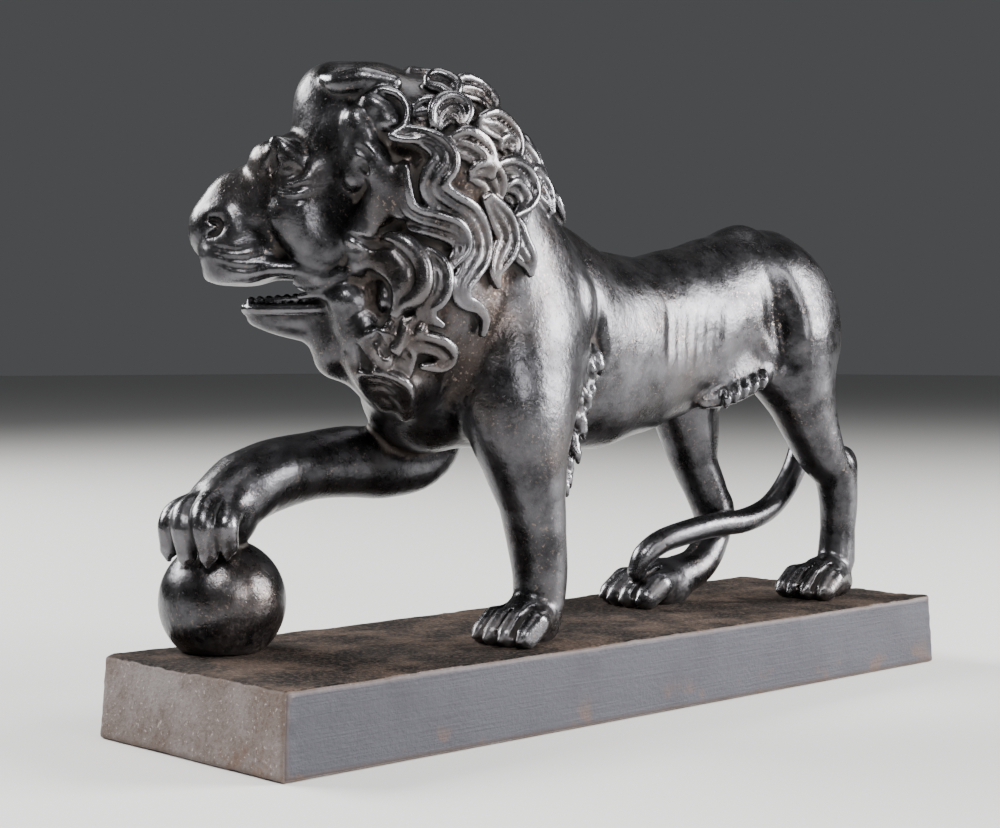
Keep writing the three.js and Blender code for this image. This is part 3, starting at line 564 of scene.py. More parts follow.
# Right hind leg, a step further forward
wax.add(ellipsoid((55, 7.8, 73), (15, 8.8, 17), 0, 6), 4)
wax.add(roll([
    (51, 9, 68, 10.5, 0.75), (47, 8.5, 58, 8.4, 0.85), (48, 8, 50, 6.7, 0.9), (49, 7.5, 44, 5.0),
    (51.5, 6.5, 38, 4.6), (53, 5.5, 32, 4.2), (51, 4.5, 27, 3.7), (45.5, 4.0, 22, 4.0),
    (38, 4.6, 19.6, 4.6),
]), 3)
wax.add(ellipsoid((54.8, 5.5, 33.5), (3.2, 3, 4)), 2)

# Creases and hair are laid on the skin: for the body and face, the wax as it stands
NORMAL_REACH = 0.7
MEET_STEPS = 38
STRIDE = 0.8
STRIDE_LIMITS = (-1, 1.2)
skin = wax.field


def depth(points):
    """How far the points are outside the skin."""
    return wax.sample(skin, points)


def skin_normal(points):
    reach = NORMAL_REACH * np.eye(3)
    normal = np.stack([depth(points + step) - depth(points - step) for step in reach], 1)
    return normal / np.maximum(np.linalg.norm(normal, axis=1), 1e-6)[:, None]


def settle(points, times=3):
    for turn in range(times):
        points = points - skin_normal(points) * depth(points)[:, None]
    return points


def meet_skin(points, direction):
    """Moves the points along a direction until they lie on the skin, or past it at the rim."""
    for turn in range(MEET_STEPS):
        stride = STRIDE * np.clip(depth(points), *STRIDE_LIMITS)
        points = points + direction * stride[:, None]
    return settle(points)


def groove(points, sizes, softness=0.6):
    """Presses a groove along points on the skin, whose half width is given at each one."""
    wax.press(chain([(*point, size) for point, size in zip(points, sizes)]), softness)


# Creases in front of each thigh and behind each shoulder, and the ribs between them. The right
# thigh stands a step further forward.
THIGH_STEP = -6.5
RIBS = 6
FIRST_RIB = 17.5
RIB_SPACING = 3.1
BESIDE_TRUNK = 22
BESIDE_HOCK = 12
for side in BOTH_SIDES:
    step = THIGH_STEP if side > 0 else 0
    wax.press(roll([(48.6 + step, side * 13.6, 87, 0.4), (50.4 + step, side * 14.8, 81, 2.0),
                    (51.2 + step, side * 15.0, 74, 2.6), (52.6 + step, side * 15.4, 66, 1.2)]), 5.0)
    wax.press(roll([(-9, side * 16, 86, 0.6), (-6.4, side * 16.6, 78, 1.5),
                    (-5.8, side * 16.2, 68, 2.2)]), 2.4)
    wax.add(ellipsoid((-9.6, side * 13.6, 76), (3.4, 2.6, 6)), 2)
    wax.press(ellipsoid((-5.6, side * 15.4, 66.4), (2.2, 1.6, 3.4)), 1.5)
    outward = np.array((0, side, 0))
    for i in range(RIBS):
        x = FIRST_RIB + RIB_SPACING * i
        rib = np.array([(x + 0.8, 0, 77), (x + 0.3, 0, 74), (x, 0, 71), (x - 0.3, 0, 67.5),
                        (x, 0, 64)]) + BESIDE_TRUNK * outward
        places = meet_skin(rib, -outward) + np.outer((1.6, 1.0, 0.8, 1.0, 1.6), outward)
        groove(places, (0.3, 0.6, 0.8, 0.6, 0.3), 2.2)
    # The hollow between the tendon above the hock and the shin
    shift = np.array((0, -11, 0) if side < 0 else (-21, 6, -8))
    tendon = np.array([(70, 0, 57), (72.6, 0, 50), (74.6, 0, 44)]) + shift + BESIDE_HOCK * outward
    groove(meet_skin(tendon, -outward), (0.4, 1.0, 0.4), 2.0)


def paw(centre, heading, size):
    """Four plump toes lie side by side and fan out a little, each with a short claw."""
    forward = (cos(radians(heading)), sin(radians(heading)))

    def place(along, across, up):
        return (centre[0] + size * (forward[0] * along - forward[1] * across),
                centre[1] + size * (forward[1] * along + forward[0] * across),
                PLINTH_TOP + size * up)

    wax.add(ellipsoid(place(-0.6, 0, 3.4), (6.4 * size, 5.6 * size, 4.2 * size), heading), 2)
    wax.add(ellipsoid(place(0.6, 0, 5.6), (4.4 * size, 4.4 * size, 3.2 * size), heading), 2)
    for row in (-1.5, -0.5, 0.5, 1.5):
        short = 0.55 * row * row
        tip = place(8.0 - short, row * 3.5, 2.3)
        knuckle = place(5.0 - short, row * 3.3, 4.4)
        root = place(-1, row * 2.3, 5.2)
        wax.add(chain([(*root, 2.0 * size), (*knuckle, 2.6 * size), (*tip, 2.3 * size)]), 0.8)
        claw = place(10.6 - short, row * 3.6, 1.7)
        wax.add(chain([(*place(9.2 - short, row * 3.55, 2.9), 0.9), (*claw, 0.5)]), 0.5)
    for row in (-1, 0, 1):
        wax.press(chain([(*place(1.0, row * 2.9, 7.4), 0.2), (*place(5.2, row * 3.4, 6.0), 0.5),
                         (*place(8.8, row * 3.6, 2.6), 0.4)]), 0.8)


paw((-24.8, -15.4), 186, 0.96)
paw((70.2, -11.4), 181, 1.0)
paw((34.0, 5.2), 172, 1.1)

# The ball, and the paw laid over it
wax.add(ellipsoid(BALL_CENTRE, (BALL_RADIUS,) * 3), 0.8)
BALL_TOES = [
    ((-78.8, 17.2, 39.4), (-80.8, 16.8, 33.4)),
    ((-79.6, 13.4, 39.8), (-80.4, 12.2, 32.4)),
    ((-78.2, 9.8, 40.0), (-78.6, 8.4, 32.6)),
    ((-75.2, 7.6, 39.2), (-75.8, 6.4, 34.0)),
]
for knuckle, tip in BALL_TOES:
    bend = [(a + b) / 2 + out for a, b, out in zip(knuckle, tip, (-1.1, -0.7, 0.9))]
    wax.add(roll([(-68, 14, 42.5, 2.6), (*knuckle, 2.4), (*bend, 2.35), (*tip, 1.7)]), 0.5)
    claw = (tip[0] - 0.4, tip[1] - 0.2, tip[2] - 2.0)
    wax.add(chain([(tip[0] - 0.9, tip[1], tip[2] - 0.2, 1.0), (*claw, 0.5)]), 0.4)
wax.add(ellipsoid((-74.0, 12.6, 37.6), (5.4, 5.2, 4.4)), 1.2)
# The heel of the paw, and the back of the hand that runs into the foreleg
wax.add(ellipsoid((-71.0, 11.4, 38.8), (4.4, 4.0, 5.0)), 2.0)
wax.add(roll([(-54, 14.0, 46.6, 4.2), (-61, 12.6, 45.9, 5.0), (-67, 11.8, 43.7, 4.6),
              (-73.4, 11.6, 41.2, 3.4)]), 3.0)
# The inner claw, a worn lozenge on the wrist
wax.add(ellipsoid((-66.5, 10.2, 41.6), (2.6, 1.8, 3.4), 0, 25), 1.6)
wax.add(ellipsoid((-67.2, 9.2, 40.4), (1.0, 0.9, 1.8), 0, 25), 0.5)

# Tail, hanging between the hind legs and laid along the right hind paw
wax.add(roll([
    (68, -1, 87, 4.0), (75.5, -1, 79, 3.4), (78.8, -1, 68, 2.9), (79, -0.8, 57, TAIL_RADIUS),
    (76.8, -0.5, 48, TAIL_RADIUS), (72.6, -0.5, 40.2, TAIL_RADIUS), (65, -0.8, 34, TAIL_RADIUS),
    (56, -0.8, 31.4, TAIL_RADIUS), (47, -0.4, 31, TAIL_RADIUS), (38, 0.4, 29.8, TAIL_RADIUS),
    (30.5, 1.4, 28.0, 2.5), (26.6, 2.2, 25.4, 2.4), (25.4, 3.0, 22.4, 2.0),
]), 1)

# Skin fold between the belly and each thigh, with a row of small round tufts on its face
for side in BOTH_SIDES:
    wax.add(ellipsoid((43, side * 8.2, 63), (8, 3.4, 4.4), 0, -20), 3)
    wax.add(roll([(33, side * 8.6, 57.4, 1.4), (37.5, side * 9.8, 58.6, 2.1),
                  (43, side * 10.4, 60.4, 2.3), (48.5, side * 10.6, 62.6, 2.1)]), 2.4)
    for i in range(5):
        x = 36.2 + 2.7 * i
        y = side * (11.5 + 0.25 * i)
        z = 58.2 + 0.95 * i
        wax.add(chain([(x + 0.3, y, z + 1.0, 0.9), (x, y + side * 0.4, z - 0.1, 1.15),
                       (x + 0.1, y, z - 1.2, 0.85)]), 0.6)

# Fringe of short tufts down the back of each fore leg's elbow
for side, count, length in ((-1, 17, 24), (1, 9, 15)):
    for i in range(count):
        t = i / (count - 1)
        x = -7.0 - 8.5 * t + 0.6 * sin(i * 2.3)
        y = side * (15.2 + 0.5 * sin(i * 1.7))
        z = 66.5 - length * t
        size = 1.25 - 0.4 * t
        wax.add(chain([(x, y - side, z + 1.8, size), (x + 0.9, y, z + 0.2, size),
                       (x + 1.6, y - side * 0.4, z - 1.4, 0.5)]), 0.6)
        if t < 0.5:
            wax.add(chain([(x - 2.4, y, z + 1.2, 0.8), (x - 1.6, y + side * 0.5, z - 0.4, 0.9),
                           (x - 0.8, y, z - 1.6, 0.4)]), 0.6)

# The head has its own directions: forward along the muzzle, across to its left, and up
AHEAD = np.array((-cos(radians(HEAD_YAW)), sin(radians(HEAD_YAW)), 0))
LEFT = np.array((-sin(radians(HEAD_YAW)), -cos(radians(HEAD_YAW)), 0))
BESIDE_HEAD = 36


def head(forward, left, up):
    return np.array((*HEAD_PIVOT, up)) + forward * AHEAD + left * LEFT


def head_lump(place, radii, pitch=0.0):
    return ellipsoid(head(*place), radii, -HEAD_YAW, pitch)


def head_roll(knots, side=1, steps=6):
    return roll([(*head(k[0], side * k[1], k[2]), *k[3:]) for k in knots], steps)


def on_side(places, side):
    """Where forward and up places meet the skin when looking straight at the head's side."""
    beside = np.array([head(forward, side * BESIDE_HEAD, up) for forward, up in places])
    return meet_skin(beside, -side * LEFT)


# Skull, forehead, cheeks, muzzle and nose, each with the softness that it melts in with
HEAD_MASS = [
    (head_lump((3, 0, 105), (13.5, 13, 14.6)), 3),
    (head_lump((9.6, 0, 112), (6.6, 8.5, 7.4)), 3),
    (head_lump((15, 0, 94), (11, 10, 11)), 3),
    (head_lump((16.5, 0, 101.6), (5, 6, 4.4)), 3),
    (head_lump((11, 8.2, 92), (8, 5, 10)), 3),
    (head_lump((11, -8.2, 92), (8, 5, 10)), 3),
    (head_lump((24.2, 0, 90.4), (9.6, 7.6, 10.4)), 3),
    (head_lump((31, 0, 89.4), (4.2, 5.4, 5.2)), 2),
]
for lump, blend in HEAD_MASS:
    wax.add(lump, blend)
for side in BOTH_SIDES:
    # Brow, the lid's plane behind it, and the cheek
    wax.add(head_lump((17.6, side * 4.8, 100.9), (5.6, 4.8, 4.4)), 2.5)
    wax.add(head_lump((21.2, side * 3.6, 101.6), (2.6, 3.0, 2.8)), 1.8)
    wax.add(head_lump((25.6, side * 4.0, 84.6), (7.2, 4.8, 5.0)), 2)
    wax.press(head_lump((17.6, side * 10.6, 99.6), (3.8, 2.8, 2.2)), 1.2)
    wax.add(head_lump((16.8, side * 8.3, 102.0), (4.4, 2.1, 2.2), 45), 1.2)
    groove(on_side([(19.0, 104.2), (19.3, 102.6), (19.5, 100.8), (19.2, 98.8)], side),
           (0.2, 0.4, 0.4, 0.2), 0.9)
    # Eyeball between its two lids, and the folds below it
    wax.add(head_lump((16.6, side * 8.5, 99.2), (2.0, 1.8, 1.4)), 0.4)
    wax.add(head_roll([(18.9, 8.6, 98.9, 0.3), (17.7, 9.6, 100.4, 0.5), (15.6, 9.9, 100.5, 0.5),
                       (13.4, 10.0, 98.7, 0.4)], side), 0.8)
    wax.add(head_roll([(18.9, 8.6, 98.7, 0.3), (17.5, 9.5, 97.8, 0.45),
                       (15.2, 9.9, 97.8, 0.4), (13.4, 10.0, 98.6, 0.3)], side), 0.8)
    groove(on_side([(19.8, 97.0), (18.4, 96.2), (16.4, 95.9), (13.0, 96.7)], side),
           (0.3, 0.55, 0.55, 0.3))
    groove(on_side([(19.2, 95.0), (17.6, 94.2), (15.6, 93.9), (12.4, 94.6)], side),
           (0.3, 0.5, 0.5, 0.3))
    wax.add(head_lump((17.6, side * 8.9, 91.2), (2.4, 1.9, 2.6)), 1.5)
    # Nostril inside its curled wing
    wax.press(head_roll([(30.6, 5.2, 91.0, 0.5), (29.4, 6.3, 90.3, 0.85), (29.4, 6.3, 88.9, 0.85),
                         (30.9, 5.4, 88.0, 0.4)], side), 0.7)
    wax.add(head_roll([(30.4, 5.2, 92.6, 0.5), (28.0, 6.4, 92.4, 0.8), (26.6, 7.2, 90.0, 0.9),
                       (27.8, 6.8, 87.2, 0.7), (30.2, 5.8, 86.0, 0.4)], side), 1.6)
    # Upper lip: its heavy lower edge, and furrows where the whiskers grow
    wax.add(head_roll([(30.6, 2.0, 81.6, 1.7), (28.6, 5.0, 81.0, 1.7), (24.6, 6.8, 81.4, 1.6),
                       (19.4, 7.8, 82.2, 1.4), (15.4, 8.4, 81.8, 1.2),
                       (12.2, 8.6, 80.8, 1.5)], side), 2.2)
    for i in range(3):
        drop = 1.6 * i
        groove(on_side([(31.4 - i, 86.6 - drop), (28.6 - i, 85.6 - drop), (25.8 - i, 85.3 - drop),
                        (23.0 - i, 85.9 - drop)], side), (0.1, 0.35, 0.3, 0.1))
wax.press(head_roll([(35.6, 0, 88.4, 0.3), (35.2, 0, 85.0, 0.6), (33.8, 0, 80.4, 0.5)]), 0.6)
wax.press(head_roll([(23.6, 0, 106.4, 0.5), (20.6, 0, 110, 0.7), (19.2, 0, 114, 0.3)]), 1.5)

# Mouth, a little open. The lower jaw has a lip, and a row of worn teeth inside it.
wax.press(head_lump((24, 0, 78.2), (11.5, 12, 1.4), 4), 0.8)
wax.add(head_lump((7, 0, 76), (8, 8, 7)), 3)
wax.add(head_roll([(8, 0, 73.5, 5.4, 1.2), (14, 0, 73.4, 3.9, 1.3), (19, 0, 73.7, 3.0, 1.4),
                   (22.4, 0, 74.2, 2.2, 1.4)]), 1.5)
wax.add(head_lump((8.4, 0, 68.4), (4.6, 6.5, 5.6), 20), 3)
wax.press(head_roll([(12, 0, 77.6, 1.2, 2.0), (18, 0, 77.0, 1.1, 2.0), (22, 0, 76.4, 0.6, 1.6)]),
          0.6)
for side in BOTH_SIDES:
    wax.add(head_roll([(9.0, 7.0, 75.4, 1.2), (15.0, 5.6, 75.2, 1.1), (20.4, 3.9, 75.2, 1.0),
                       (24.0, 1.6, 75.3, 1.0), (24.8, 0, 75.4, 1.0)], side), 0.6)
    for i in range(9):
        t = i / 8
        place = head(24.0 - 13 * t, side * (1.4 + 4.4 * t ** 0.8), 76.6 + 0.8 * t)
        wax.add(ellipsoid(place, (0.85, 0.75, 1.0), -HEAD_YAW), 0.25)
    # Ragged web of metal at the corner of the mouth
    wax.add(head_roll([(8.0, 8.6, 81.4, 1.6), (12.0, 8.2, 79.6, 1.3), (15.4, 7.4, 79.8, 0.9)],
                      side), 1.0)
    wax.add(head_roll([(7.0, 8.4, 76.8, 1.6), (11.0, 8.0, 77.8, 1.0), (15.0, 6.8, 77.4, 0.6)],
                      side), 0.8)

# Mane mass: the collar of hair that the locks are laid over
MANE_MASS = [
    (head_lump((-7, 0, 100), (14.5, 15.5, 17)), 3),
    (ellipsoid((-33, -1, 95), (20.5, 15, 19), 0, 12), 5),
    (ellipsoid((-28, -1, 86), (17, 15.5, 16), 0, 20), 5),
    (ellipsoid((-42, -1.5, 80), (13.5, 16, 18)), 5),
    (head_lump((-0.5, 0, 68.5), (9.0, 11.5, 13.5), -20), 4),
]
for lump, blend in MANE_MASS:
    wax.add(lump, blend)
# The hollow of each cheek, between the muzzle and the curls
for side in BOTH_SIDES:
    wax.press(head_lump((9.6, side * 14.6, 92), (4.6, 3.6, 9.5)), 2.5)
skin = wax.field.copy()

STRAND_THICKNESS = 0.54
CORE_THICKNESS = 0.36
LEAST_CORE = 0.3


def lock(centres, width, strands, lift, tilt):
    """A lock of hair along centres on the skin: strands side by side over a sunk core, which
    draw together at both ends. The lift has a value for the root and one for the tip, and the
    tilt raises one edge of the lock above the other."""
    normals = skin_normal(centres)
    ahead = np.concatenate([centres[1:], centres[-1:]]) - np.concatenate([centres[:1], centres[:-1]])
    across = np.cross(normals, ahead)
    across /= np.maximum(np.linalg.norm(across, axis=1), 1e-6)[:, None]
    t = np.linspace(0, 1, len(centres))
    full = smooth_step(-0.2, 0.25, t) * (1 - 0.88 * smooth_step(0.55, 1.05, t))
    height = lift[0] + (lift[1] - lift[0]) * t
    spacing = width / strands
    thick = STRAND_THICKNESS * spacing
    core = CORE_THICKNESS * width * full + LEAST_CORE
    middle = centres + normals * (height - 0.1 * thick - core)[:, None]
    wax.add(chain(np.column_stack([middle, core])), 0.5)
    for strand in range(strands):
        s = (strand - (strands - 1) / 2) * spacing * full
        line = centres + across * s[:, None] + normals * (height + tilt * s)[:, None]
        wax.add(chain(np.column_stack([line, thick * (0.35 + 0.65 * full)])), 0.15)


# The long locks, the same on both sides of the head. Each has its width, its number of
# strands, its tilt, and the forward and up places that it sways through.
LONG_LOCKS = [
    (5.4, 3, 0.25, [(-3.1, 105), (-6.7, 104.1), (-9.3, 102.4), (-10.1, 100.2), (-8.6, 97.8),
                    (-8.4, 95.7), (-10.5, 93.8), (-13, 92.3), (-14.4, 90.2), (-15.2, 87.5),
                    (-15.2, 84.7), (-13.6, 81.5), (-12.3, 79.1), (-12.7, 76.8), (-15, 75.7),
                    (-16.5, 73.6), (-16.2, 71)]),
    (5.2, 3, 0.25, [(-3.3, 99.5), (-3.1, 96.1), (-3.6, 93), (-5.5, 91), (-8.6, 90), (-11.4, 88.7),
                    (-12.5, 86), (-11.1, 83.2), (-9.7, 80.7)]),
    (5.4, 3, 0.25, [(-5.5, 85.2), (-7.6, 83.1), (-8.8, 80.7), (-8.5, 78.3), (-7.1, 76.2),
                    (-7.3, 74.2), (-9.4, 72.8)]),
    (6.6, 2, 0.25, [(-0.7, 87), (-3.1, 84.9), (-5, 81.8), (-4.9, 78.8), (-3.1, 76.6),
                    (-1.9, 74.2)]),
    (5.4, 3, 0.25, [(-17, 94.8), (-18.8, 92.2), (-20.1, 89.9), (-20.5, 87.1), (-19, 84.2),
                    (-18.1, 81.7), (-18.7, 79.3)]),
    (4.8, 3, 0.25, [(-21.6, 91.8), (-22.2, 89), (-23.3, 86.2), (-24.7, 83.8), (-25.2, 81.4)]),
    (4.6, 2, 0.25, [(-2.1, 67.6), (-3.8, 69.3), (-6.6, 69.7), (-9.1, 69), (-10, 67.3),
                    (-8.4, 65.7), (-5.6, 65.5)]),
    (5.0, 2, 0.25, [(-2.8, 73.5), (-1.7, 70.7), (-0.4, 67.9), (-0, 65.2)]),
    (4.6, 2, 0.25, [(-5.9, 73.5), (-4.5, 71.4), (-5.6, 69)]),
    (5.2, 3, 0.6, [(-8.6, 105.9), (-9.3, 108), (-10.7, 109.2), (-12.1, 108.7), (-12.6, 107.3),
                   (-12.4, 105.5)]),
    (5.2, 3, 0.6, [(-11.5, 112.7), (-14, 113.2), (-16.2, 112.3), (-17.4, 110.5), (-17.5, 108.2)]),
    (5.4, 3, 0.6, [(-15.6, 107.2), (-18.4, 107.2), (-20.6, 105.8), (-21.7, 103.6),
                   (-21.5, 101.2)]),
    (5.6, 3, 0.6, [(-11, 103.5), (-13.3, 103.4), (-15.4, 102.3), (-16.8, 100.4), (-17.2, 98.2)]),
    (5.4, 3, 0.6, [(-17.2, 99.2), (-20.3, 99.7), (-23.1, 98.8), (-24.5, 96.7), (-23.7, 94.1),
                   (-21.6, 92.1)]),
    (4.6, 2, 0.6, [(-7.3, 113.9), (-9.4, 113.7), (-11, 112.4), (-11.3, 110.3)]),
]
LOCK_STEPS = 5
long_paths = []
for width, strands, tilt, places in LONG_LOCKS:
    sway = np.array(smooth_curve([(forward, up, 0) for forward, up in places], LOCK_STEPS))
    for side in BOTH_SIDES:
        long_paths.append((on_side(sway[:, :2], side), width, strands, side * tilt))

# Tufts fill the mane wherever no long lock lies. Their roots are spaced evenly, and each tuft
# bends over like a hood whose rim stands up from the one below.
LIE = -0.45 * AHEAD + np.array((0.2, 0, -0.8))
ROOT_SPACING = 5.4
ROOT_CLEARANCE = (2.2, 3.6)
TUFT_LENGTH = 10.5
TUFT_WIDTH = 5.2
TUFT_TILT = 0.55
TUFT_BEND = (75, -45)
TUFT_STEPS = 12
RING_FROM = head(9, 0, 92)
RING_TO = np.array((-8.0, 0, 86))
RINGS = 26


def is_hair(points):
    forward = (points[:, :2] - HEAD_PIVOT) @ AHEAD[:2]
    crown = np.clip((points[:, 2] - 105) / 8, 0, 1)
    chin = np.clip((80 - points[:, 2]) / 12, 0, 1)
    nape = np.clip(1.5 - np.abs(points[:, 1]) / 10, 0, 1)
    border = np.minimum(-39.7 + 1.11 * (points[:, 2] - 81.4) + 12 * nape, -13)
    return ((forward < 0.5 - 4 * crown + 3 * chin) & (points[:, 0] < border)
            & (points[:, 2] > 58))


ring_axis = (RING_TO - RING_FROM) / np.linalg.norm(RING_TO - RING_FROM)
ring_side = np.cross((0, 0, 1), ring_axis)
ring_side /= np.linalg.norm(ring_side)
ring_top = np.cross(ring_axis, ring_side)
taken = np.concatenate([path for path, width, strands, tilt in long_paths])
roots = []
for ring in range(RINGS):
    centre = RING_FROM + (RING_TO - RING_FROM) * ring / (RINGS - 1)
    turns = np.radians(np.arange(-168, 169, 8))[:, None]
    outward = np.cos(turns) * ring_top + np.sin(turns) * ring_side
    spots = meet_skin(centre + BESIDE_HEAD * outward, -outward)
    spots = spots[is_hair(spots)]
    sideways = np.abs(skin_normal(spots) @ LEFT)
    clearances = ROOT_CLEARANCE[0] + (ROOT_CLEARANCE[1] - ROOT_CLEARANCE[0]) * sideways
    for spot, clearance in zip(spots, clearances):
        nearest_lock = np.linalg.norm(taken - spot, axis=1).min()
        nearest_root = min((np.linalg.norm(root - spot) for root in roots), default=np.inf)
        if nearest_lock > clearance and nearest_root > ROOT_SPACING:
            roots.append(spot)

spots = np.array(roots)
tufts = [spots]
hands = np.where(skin_normal(spots) @ LEFT > 0, 1, -1)
for step in range(TUFT_STEPS):
    bend = radians(TUFT_BEND[0] + (TUFT_BEND[1] - TUFT_BEND[0]) * step / TUFT_STEPS)
    normals = skin_normal(spots)
    down = LIE - normals * (normals @ LIE)[:, None]
    down /= np.linalg.norm(down, axis=1)[:, None]
    aside = np.cross(normals, down) * hands[:, None]
    spots = settle(spots + (down * cos(bend) + aside * sin(bend)) * TUFT_LENGTH / TUFT_STEPS, 1)
    tufts.append(spots)
for tuft, hand in zip(np.stack(tufts, 1), hands):
    sunk = 1.4 * smooth_step(105, 113, tuft[0][2])
    lock(tuft, TUFT_WIDTH, 3, (0.7 - sunk, 0.9 - sunk), hand * TUFT_TILT)
for path, width, strands, tilt in long_paths:
    lock(path, width, strands, (1.2, 1.8), tilt)

# Big soft curls between the face and the locks and under the chin, parted by deep creases.
# Each curl has its width, how far it stands up, and the places that it bends through.
SOFT_CURLS = [
    (6.4, 2.3, [(4.8, 107.5), (3.9, 104.9), (4.3, 101.5), (5.0, 98)]),
    (7.0, 3.2, [(2.0, 101.0), (-0.2, 96.3), (1.0, 93), (2.9, 90.1), (4.7, 87.3)]),
    (6.0, 2.3, [(4.2, 83.2), (1.4, 83.9), (-0.7, 82.1), (-1.7, 79.3), (-1.1, 76.6)]),
    (7.5, 1.5, [(7.6, 76.4), (6.2, 72.4), (4.4, 69)]),
    (6.0, 1.5, [(3.6, 72), (1.6, 68.6), (-0.4, 65.6)]),
    (6.0, 1.4, [(5.4, 66), (3.2, 62), (0.4, 58.6)]),
    (5.0, 1.4, [(-2.4, 63), (-3.8, 60), (-3.6, 56.6)]),
]
for width, rise, places in SOFT_CURLS:
    sway = np.array(smooth_curve([(forward, up, 0) for forward, up in places], LOCK_STEPS))
    radii = 0.5 * width * (0.62 + 0.38 * np.sin(pi * np.linspace(0.15, 0.85, len(sway))))
    for side in BOTH_SIDES:
        path = on_side(sway[:, :2], side)
        middle = path + skin_normal(path) * (rise - radii)[:, None]
        wax.add(chain(np.column_stack([middle, radii])), 1.4)
skin = wax.field.copy()
DEEP_CREASES = [
    [(4.6, 102.8), (3.2, 101.2), (2.4, 100.0)],
    [(4.4, 100.4), (3.8, 99.4), (3.1, 98.4)],
    [(0.4, 88.6), (-2.8, 89.6), (-5.5, 89.2)],
    [(3.0, 81.4), (0.6, 79.7), (-0.4, 77.3), (0.0, 73.1)],
    [(6.6, 88.0), (3.0, 86.4), (-1.0, 86.0)],
    [(1.6, 71), (0.4, 68), (-1.8, 66)],
    [(5.0, 68.6), (3.6, 65.6), (2.4, 64)],
]
for places in DEEP_CREASES:
    for side in BOTH_SIDES:
        sway = np.array(smooth_curve([(forward, up, 0) for forward, up in places], LOCK_STEPS))
        sizes = 0.3 + 0.6 * np.sin(pi * np.linspace(0.05, 0.95, len(sway)))
        groove(on_side(sway[:, :2], side), sizes)

# Ears, laid back into the mane: a smooth lobe inside a raised rim
for side in BOTH_SIDES:
    wax.add(head_lump((0.6, side * 12.6, 109.4), (4.2, 2.4, 2.3), 35), 1.4)
    wax.add(head_lump((-0.6, side * 13.4, 107.2), (2.2, 2.0, 1.7)), 1.0)
    wax.add(head_roll([(3.8, 12.4, 111.2, 0.6), (1.0, 12.9, 112.8, 0.7), (-2.4, 13.4, 112.0, 0.8),
                       (-4.0, 14.6, 109.2, 0.7), (-3.2, 15.8, 106.0, 0.8),
                       (-1.2, 16.2, 104.6, 0.8), (-3.4, 16.6, 103.9, 0.7),
                       (-6.0, 16.6, 104.0, 0.6)], side), 0.6)
    wax.add(head_roll([(10.6, 8.0, 115.4, 1.0), (8.2, 10.0, 114.4, 2.0), (3.6, 10.6, 114.8, 2.5),
                       (-1.4, 11.4, 114.2, 1.6)], side), 0.6)

# The marks tell the material what lies deep in a hollow, and what is a fine edge or channel
SIDE_GAP = 0.05
TOP_GAP = 0.02
HOLLOW_REACH = 7.0
EDGE_REACH = 1.8
wax.keep_within(LION_LOW + (SIDE_GAP, SIDE_GAP, 0), LION_HIGH - (SIDE_GAP, SIDE_GAP, TOP_GAP))
lion_marks = {"hollow": wax.crowding(HOLLOW_REACH), "edge": wax.crowding(EDGE_REACH)}
lion = iron_piece("iron_lion", wax, LION_TRIANGLES, lion_marks)
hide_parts("lion_and_ball")
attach(lion, "root")


BLACKENED = (0.013, 0.0125, 0.014, 1)
RUBBED = (0.175, 0.172, 0.186, 1)
DUST = (0.085, 0.058, 0.042, 1)
BROWNED = (0.085, 0.062, 0.050, 1)
# Near-black for the fine channels and creases: painted shade
PAINTED_SHADE_BLACK = (0.006, 0.005, 0.005, 1)
SAND_SPECKS = (0.20, 0.155, 0.125, 1)
FEET_TOP = 0.028


def lion_iron():
    s = Surface("lion_iron")
    hollow = s.rise(s.mark("hollow"), 0.50, 0.68)
    crest = s.rise(s.mark("edge"), 0.47, 0.36)
    channel = s.rise(s.mark("edge"), 0.53, 0.62)
    clouds = s.noise(130, 5, 0.65)
    warm = s.rise(s.noise(38, 4, 0.6), 0.48, 0.70)
    specks = s.noise(1100, 3, 0.6)
    pits = s.rise(s.noise(1900, 2, 0.5), 0.66, 0.74)
    # Fine channels and creases, to be painted near-black, rough and barely metallic: painted shade
    painted_shade_in_channels = s.rise(s.mark("edge"), 0.55, 0.66)
    rubbed = (crest * 0.5 + s.rise(clouds, 0.30, 0.70) * 0.45 + 0.06
              - hollow * 0.7).clamped()
    height = s.node("ShaderNodeSeparateXYZ", inputs={"Vector": s.place}, output="Z")
    low = s.rise(height, FEET_TOP, PLINTH_TOP * MM)
    dusty = (hollow * 0.5 + channel * 0.5 + s.rise(clouds, 0.35, 0.75) * 0.45 - 0.62
             + s.rise(specks, 0.45, 0.7) * 0.3 + low * 0.6).clamped()
    rusty = s.rise(s.noise(35, 3, 0.6), 0.58, 0.72) * s.rise(specks, 0.45, 0.6)
    colour = s.blend(rubbed, BLACKENED, RUBBED)
    colour = s.blend(warm * 0.35, colour, BROWNED)
    colour = s.blend(dusty * 0.8, colour, DUST)
    sandy = s.rise(s.noise(1700, 2, 0.6), 0.58, 0.70) * s.rise(s.noise(70, 3, 0.6), 0.38, 0.58)
    colour = s.blend(sandy * 0.6, colour, SAND_SPECKS)
    colour = s.blend((rusty * 0.35 * (hollow + 0.25)).clamped(), colour, RUST)
    # Painted shade darkens the fine channels and creases
    colour = s.blend(painted_shade_in_channels * 0.8, colour, PAINTED_SHADE_BLACK)
    roughness = (0.20 + s.rise(clouds, 0.3, 0.7) * 0.07 + specks * 0.12 + dusty * 0.35
                 + painted_shade_in_channels * 0.3 - crest * 0.05)
    relief = s.noise(420, 4, 0.6) * 0.8 + specks * 0.3 - pits * 0.15
    return s.set(Base_Color=colour, Roughness=roughness.clamped(),
                 Metallic=(0.96 - dusty * 0.75 - painted_shade_in_channels * 0.6).clamped(),
                 Normal=s.bump(relief, 0.00022, 0.8))


lion.data.materials.append(lion_iron())


# A plain pale floor, soft lights, and the camera where the photograph was taken from

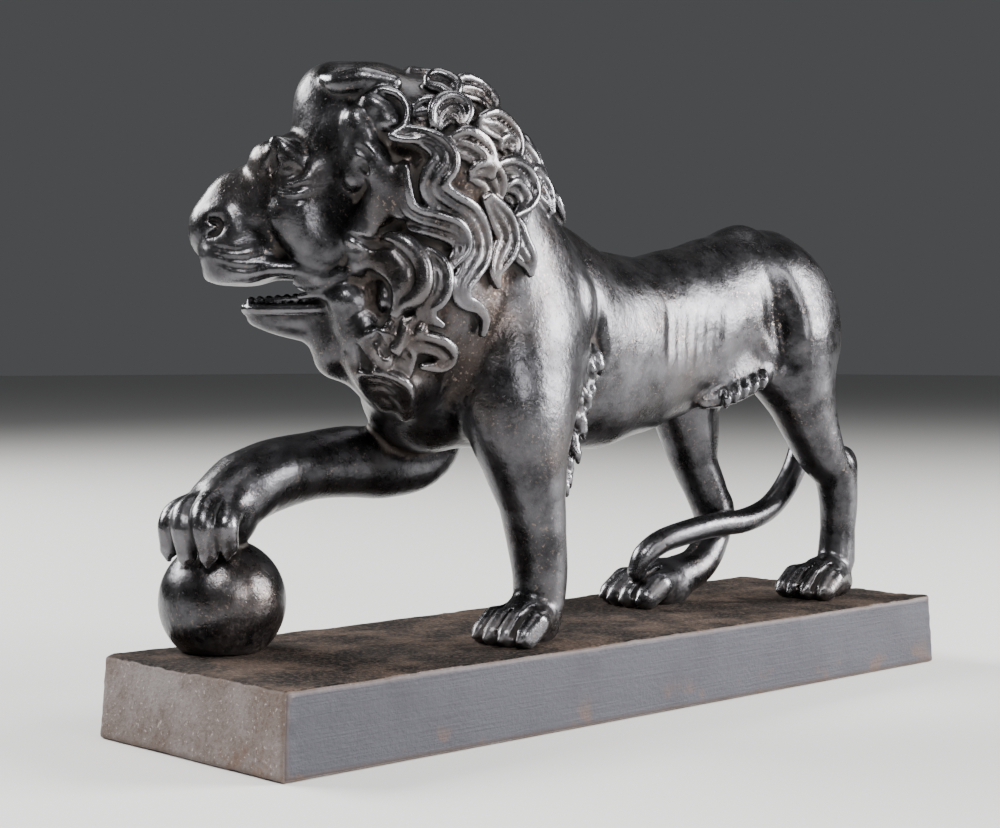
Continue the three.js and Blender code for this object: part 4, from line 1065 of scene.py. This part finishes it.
FLOOR_HALF = 6.0
corners = [(-FLOOR_HALF, -FLOOR_HALF, 0), (FLOOR_HALF, -FLOOR_HALF, 0),
           (FLOOR_HALF, FLOOR_HALF, 0), (-FLOOR_HALF, FLOOR_HALF, 0)]
sheet = bpy.data.meshes.new("floor")
sheet.from_pydata(corners, [], [(0, 1, 2, 3)])
sheet.materials.append(Surface("pale_floor").set(Base_Color=(0.72, 0.71, 0.69, 1), Roughness=0.6))
floor = bpy.data.objects.new("floor", sheet)
bpy.context.collection.objects.link(floor)

MIDDLE = Vector((0, 0, 0.06))


def soft_light(name, place, size, watts):
    data = bpy.data.lights.new(name, "AREA")
    data.shape = "RECTANGLE"
    data.size, data.size_y = size
    data.energy = watts
    light = bpy.data.objects.new(name, data)
    light.location = place
    light.rotation_euler = (MIDDLE - Vector(place)).to_track_quat("-Z", "Y").to_euler()
    bpy.context.collection.objects.link(light)


soft_light("right_window", (0.62, -0.56, 0.30), (0.42, 0.40), 22.0)
soft_light("back_window", (-0.30, 0.75, 0.55), (0.60, 0.35), 18.0)
soft_light("overhead", (0.1, 0.0, 0.9), (0.5, 0.4), 3.0)
soft_light("beside_camera", (-0.04, -0.87, 0.34), (0.20, 0.30), 3.5)
soft_light("front_high", (-0.48, -0.40, 0.72), (0.22, 0.22), 6.0)

world = bpy.data.worlds.new("studio")
world.use_nodes = True
world.node_tree.nodes["Background"].inputs["Color"].default_value = (0.75, 0.77, 0.80, 1)
world.node_tree.nodes["Background"].inputs["Strength"].default_value = 0.10
bpy.context.scene.world = world

# Worked out from the plinth's corners in the photograph
CAMERA_PLACE = Vector((-276.4, -268.6, 66.7)) * MM
CAMERA_AZIMUTH = -44.01
CAMERA_ELEVATION = 1.66
CAMERA_LENS = 70.5
camera_data = bpy.data.cameras.new("camera")
camera_data.lens = CAMERA_LENS
camera_data.sensor_width = 36
camera = bpy.data.objects.new("camera", camera_data)
camera.location = CAMERA_PLACE
camera.rotation_euler = (radians(90 - CAMERA_ELEVATION), 0, radians(CAMERA_AZIMUTH))
bpy.context.collection.objects.link(camera)
bpy.context.scene.camera = camera
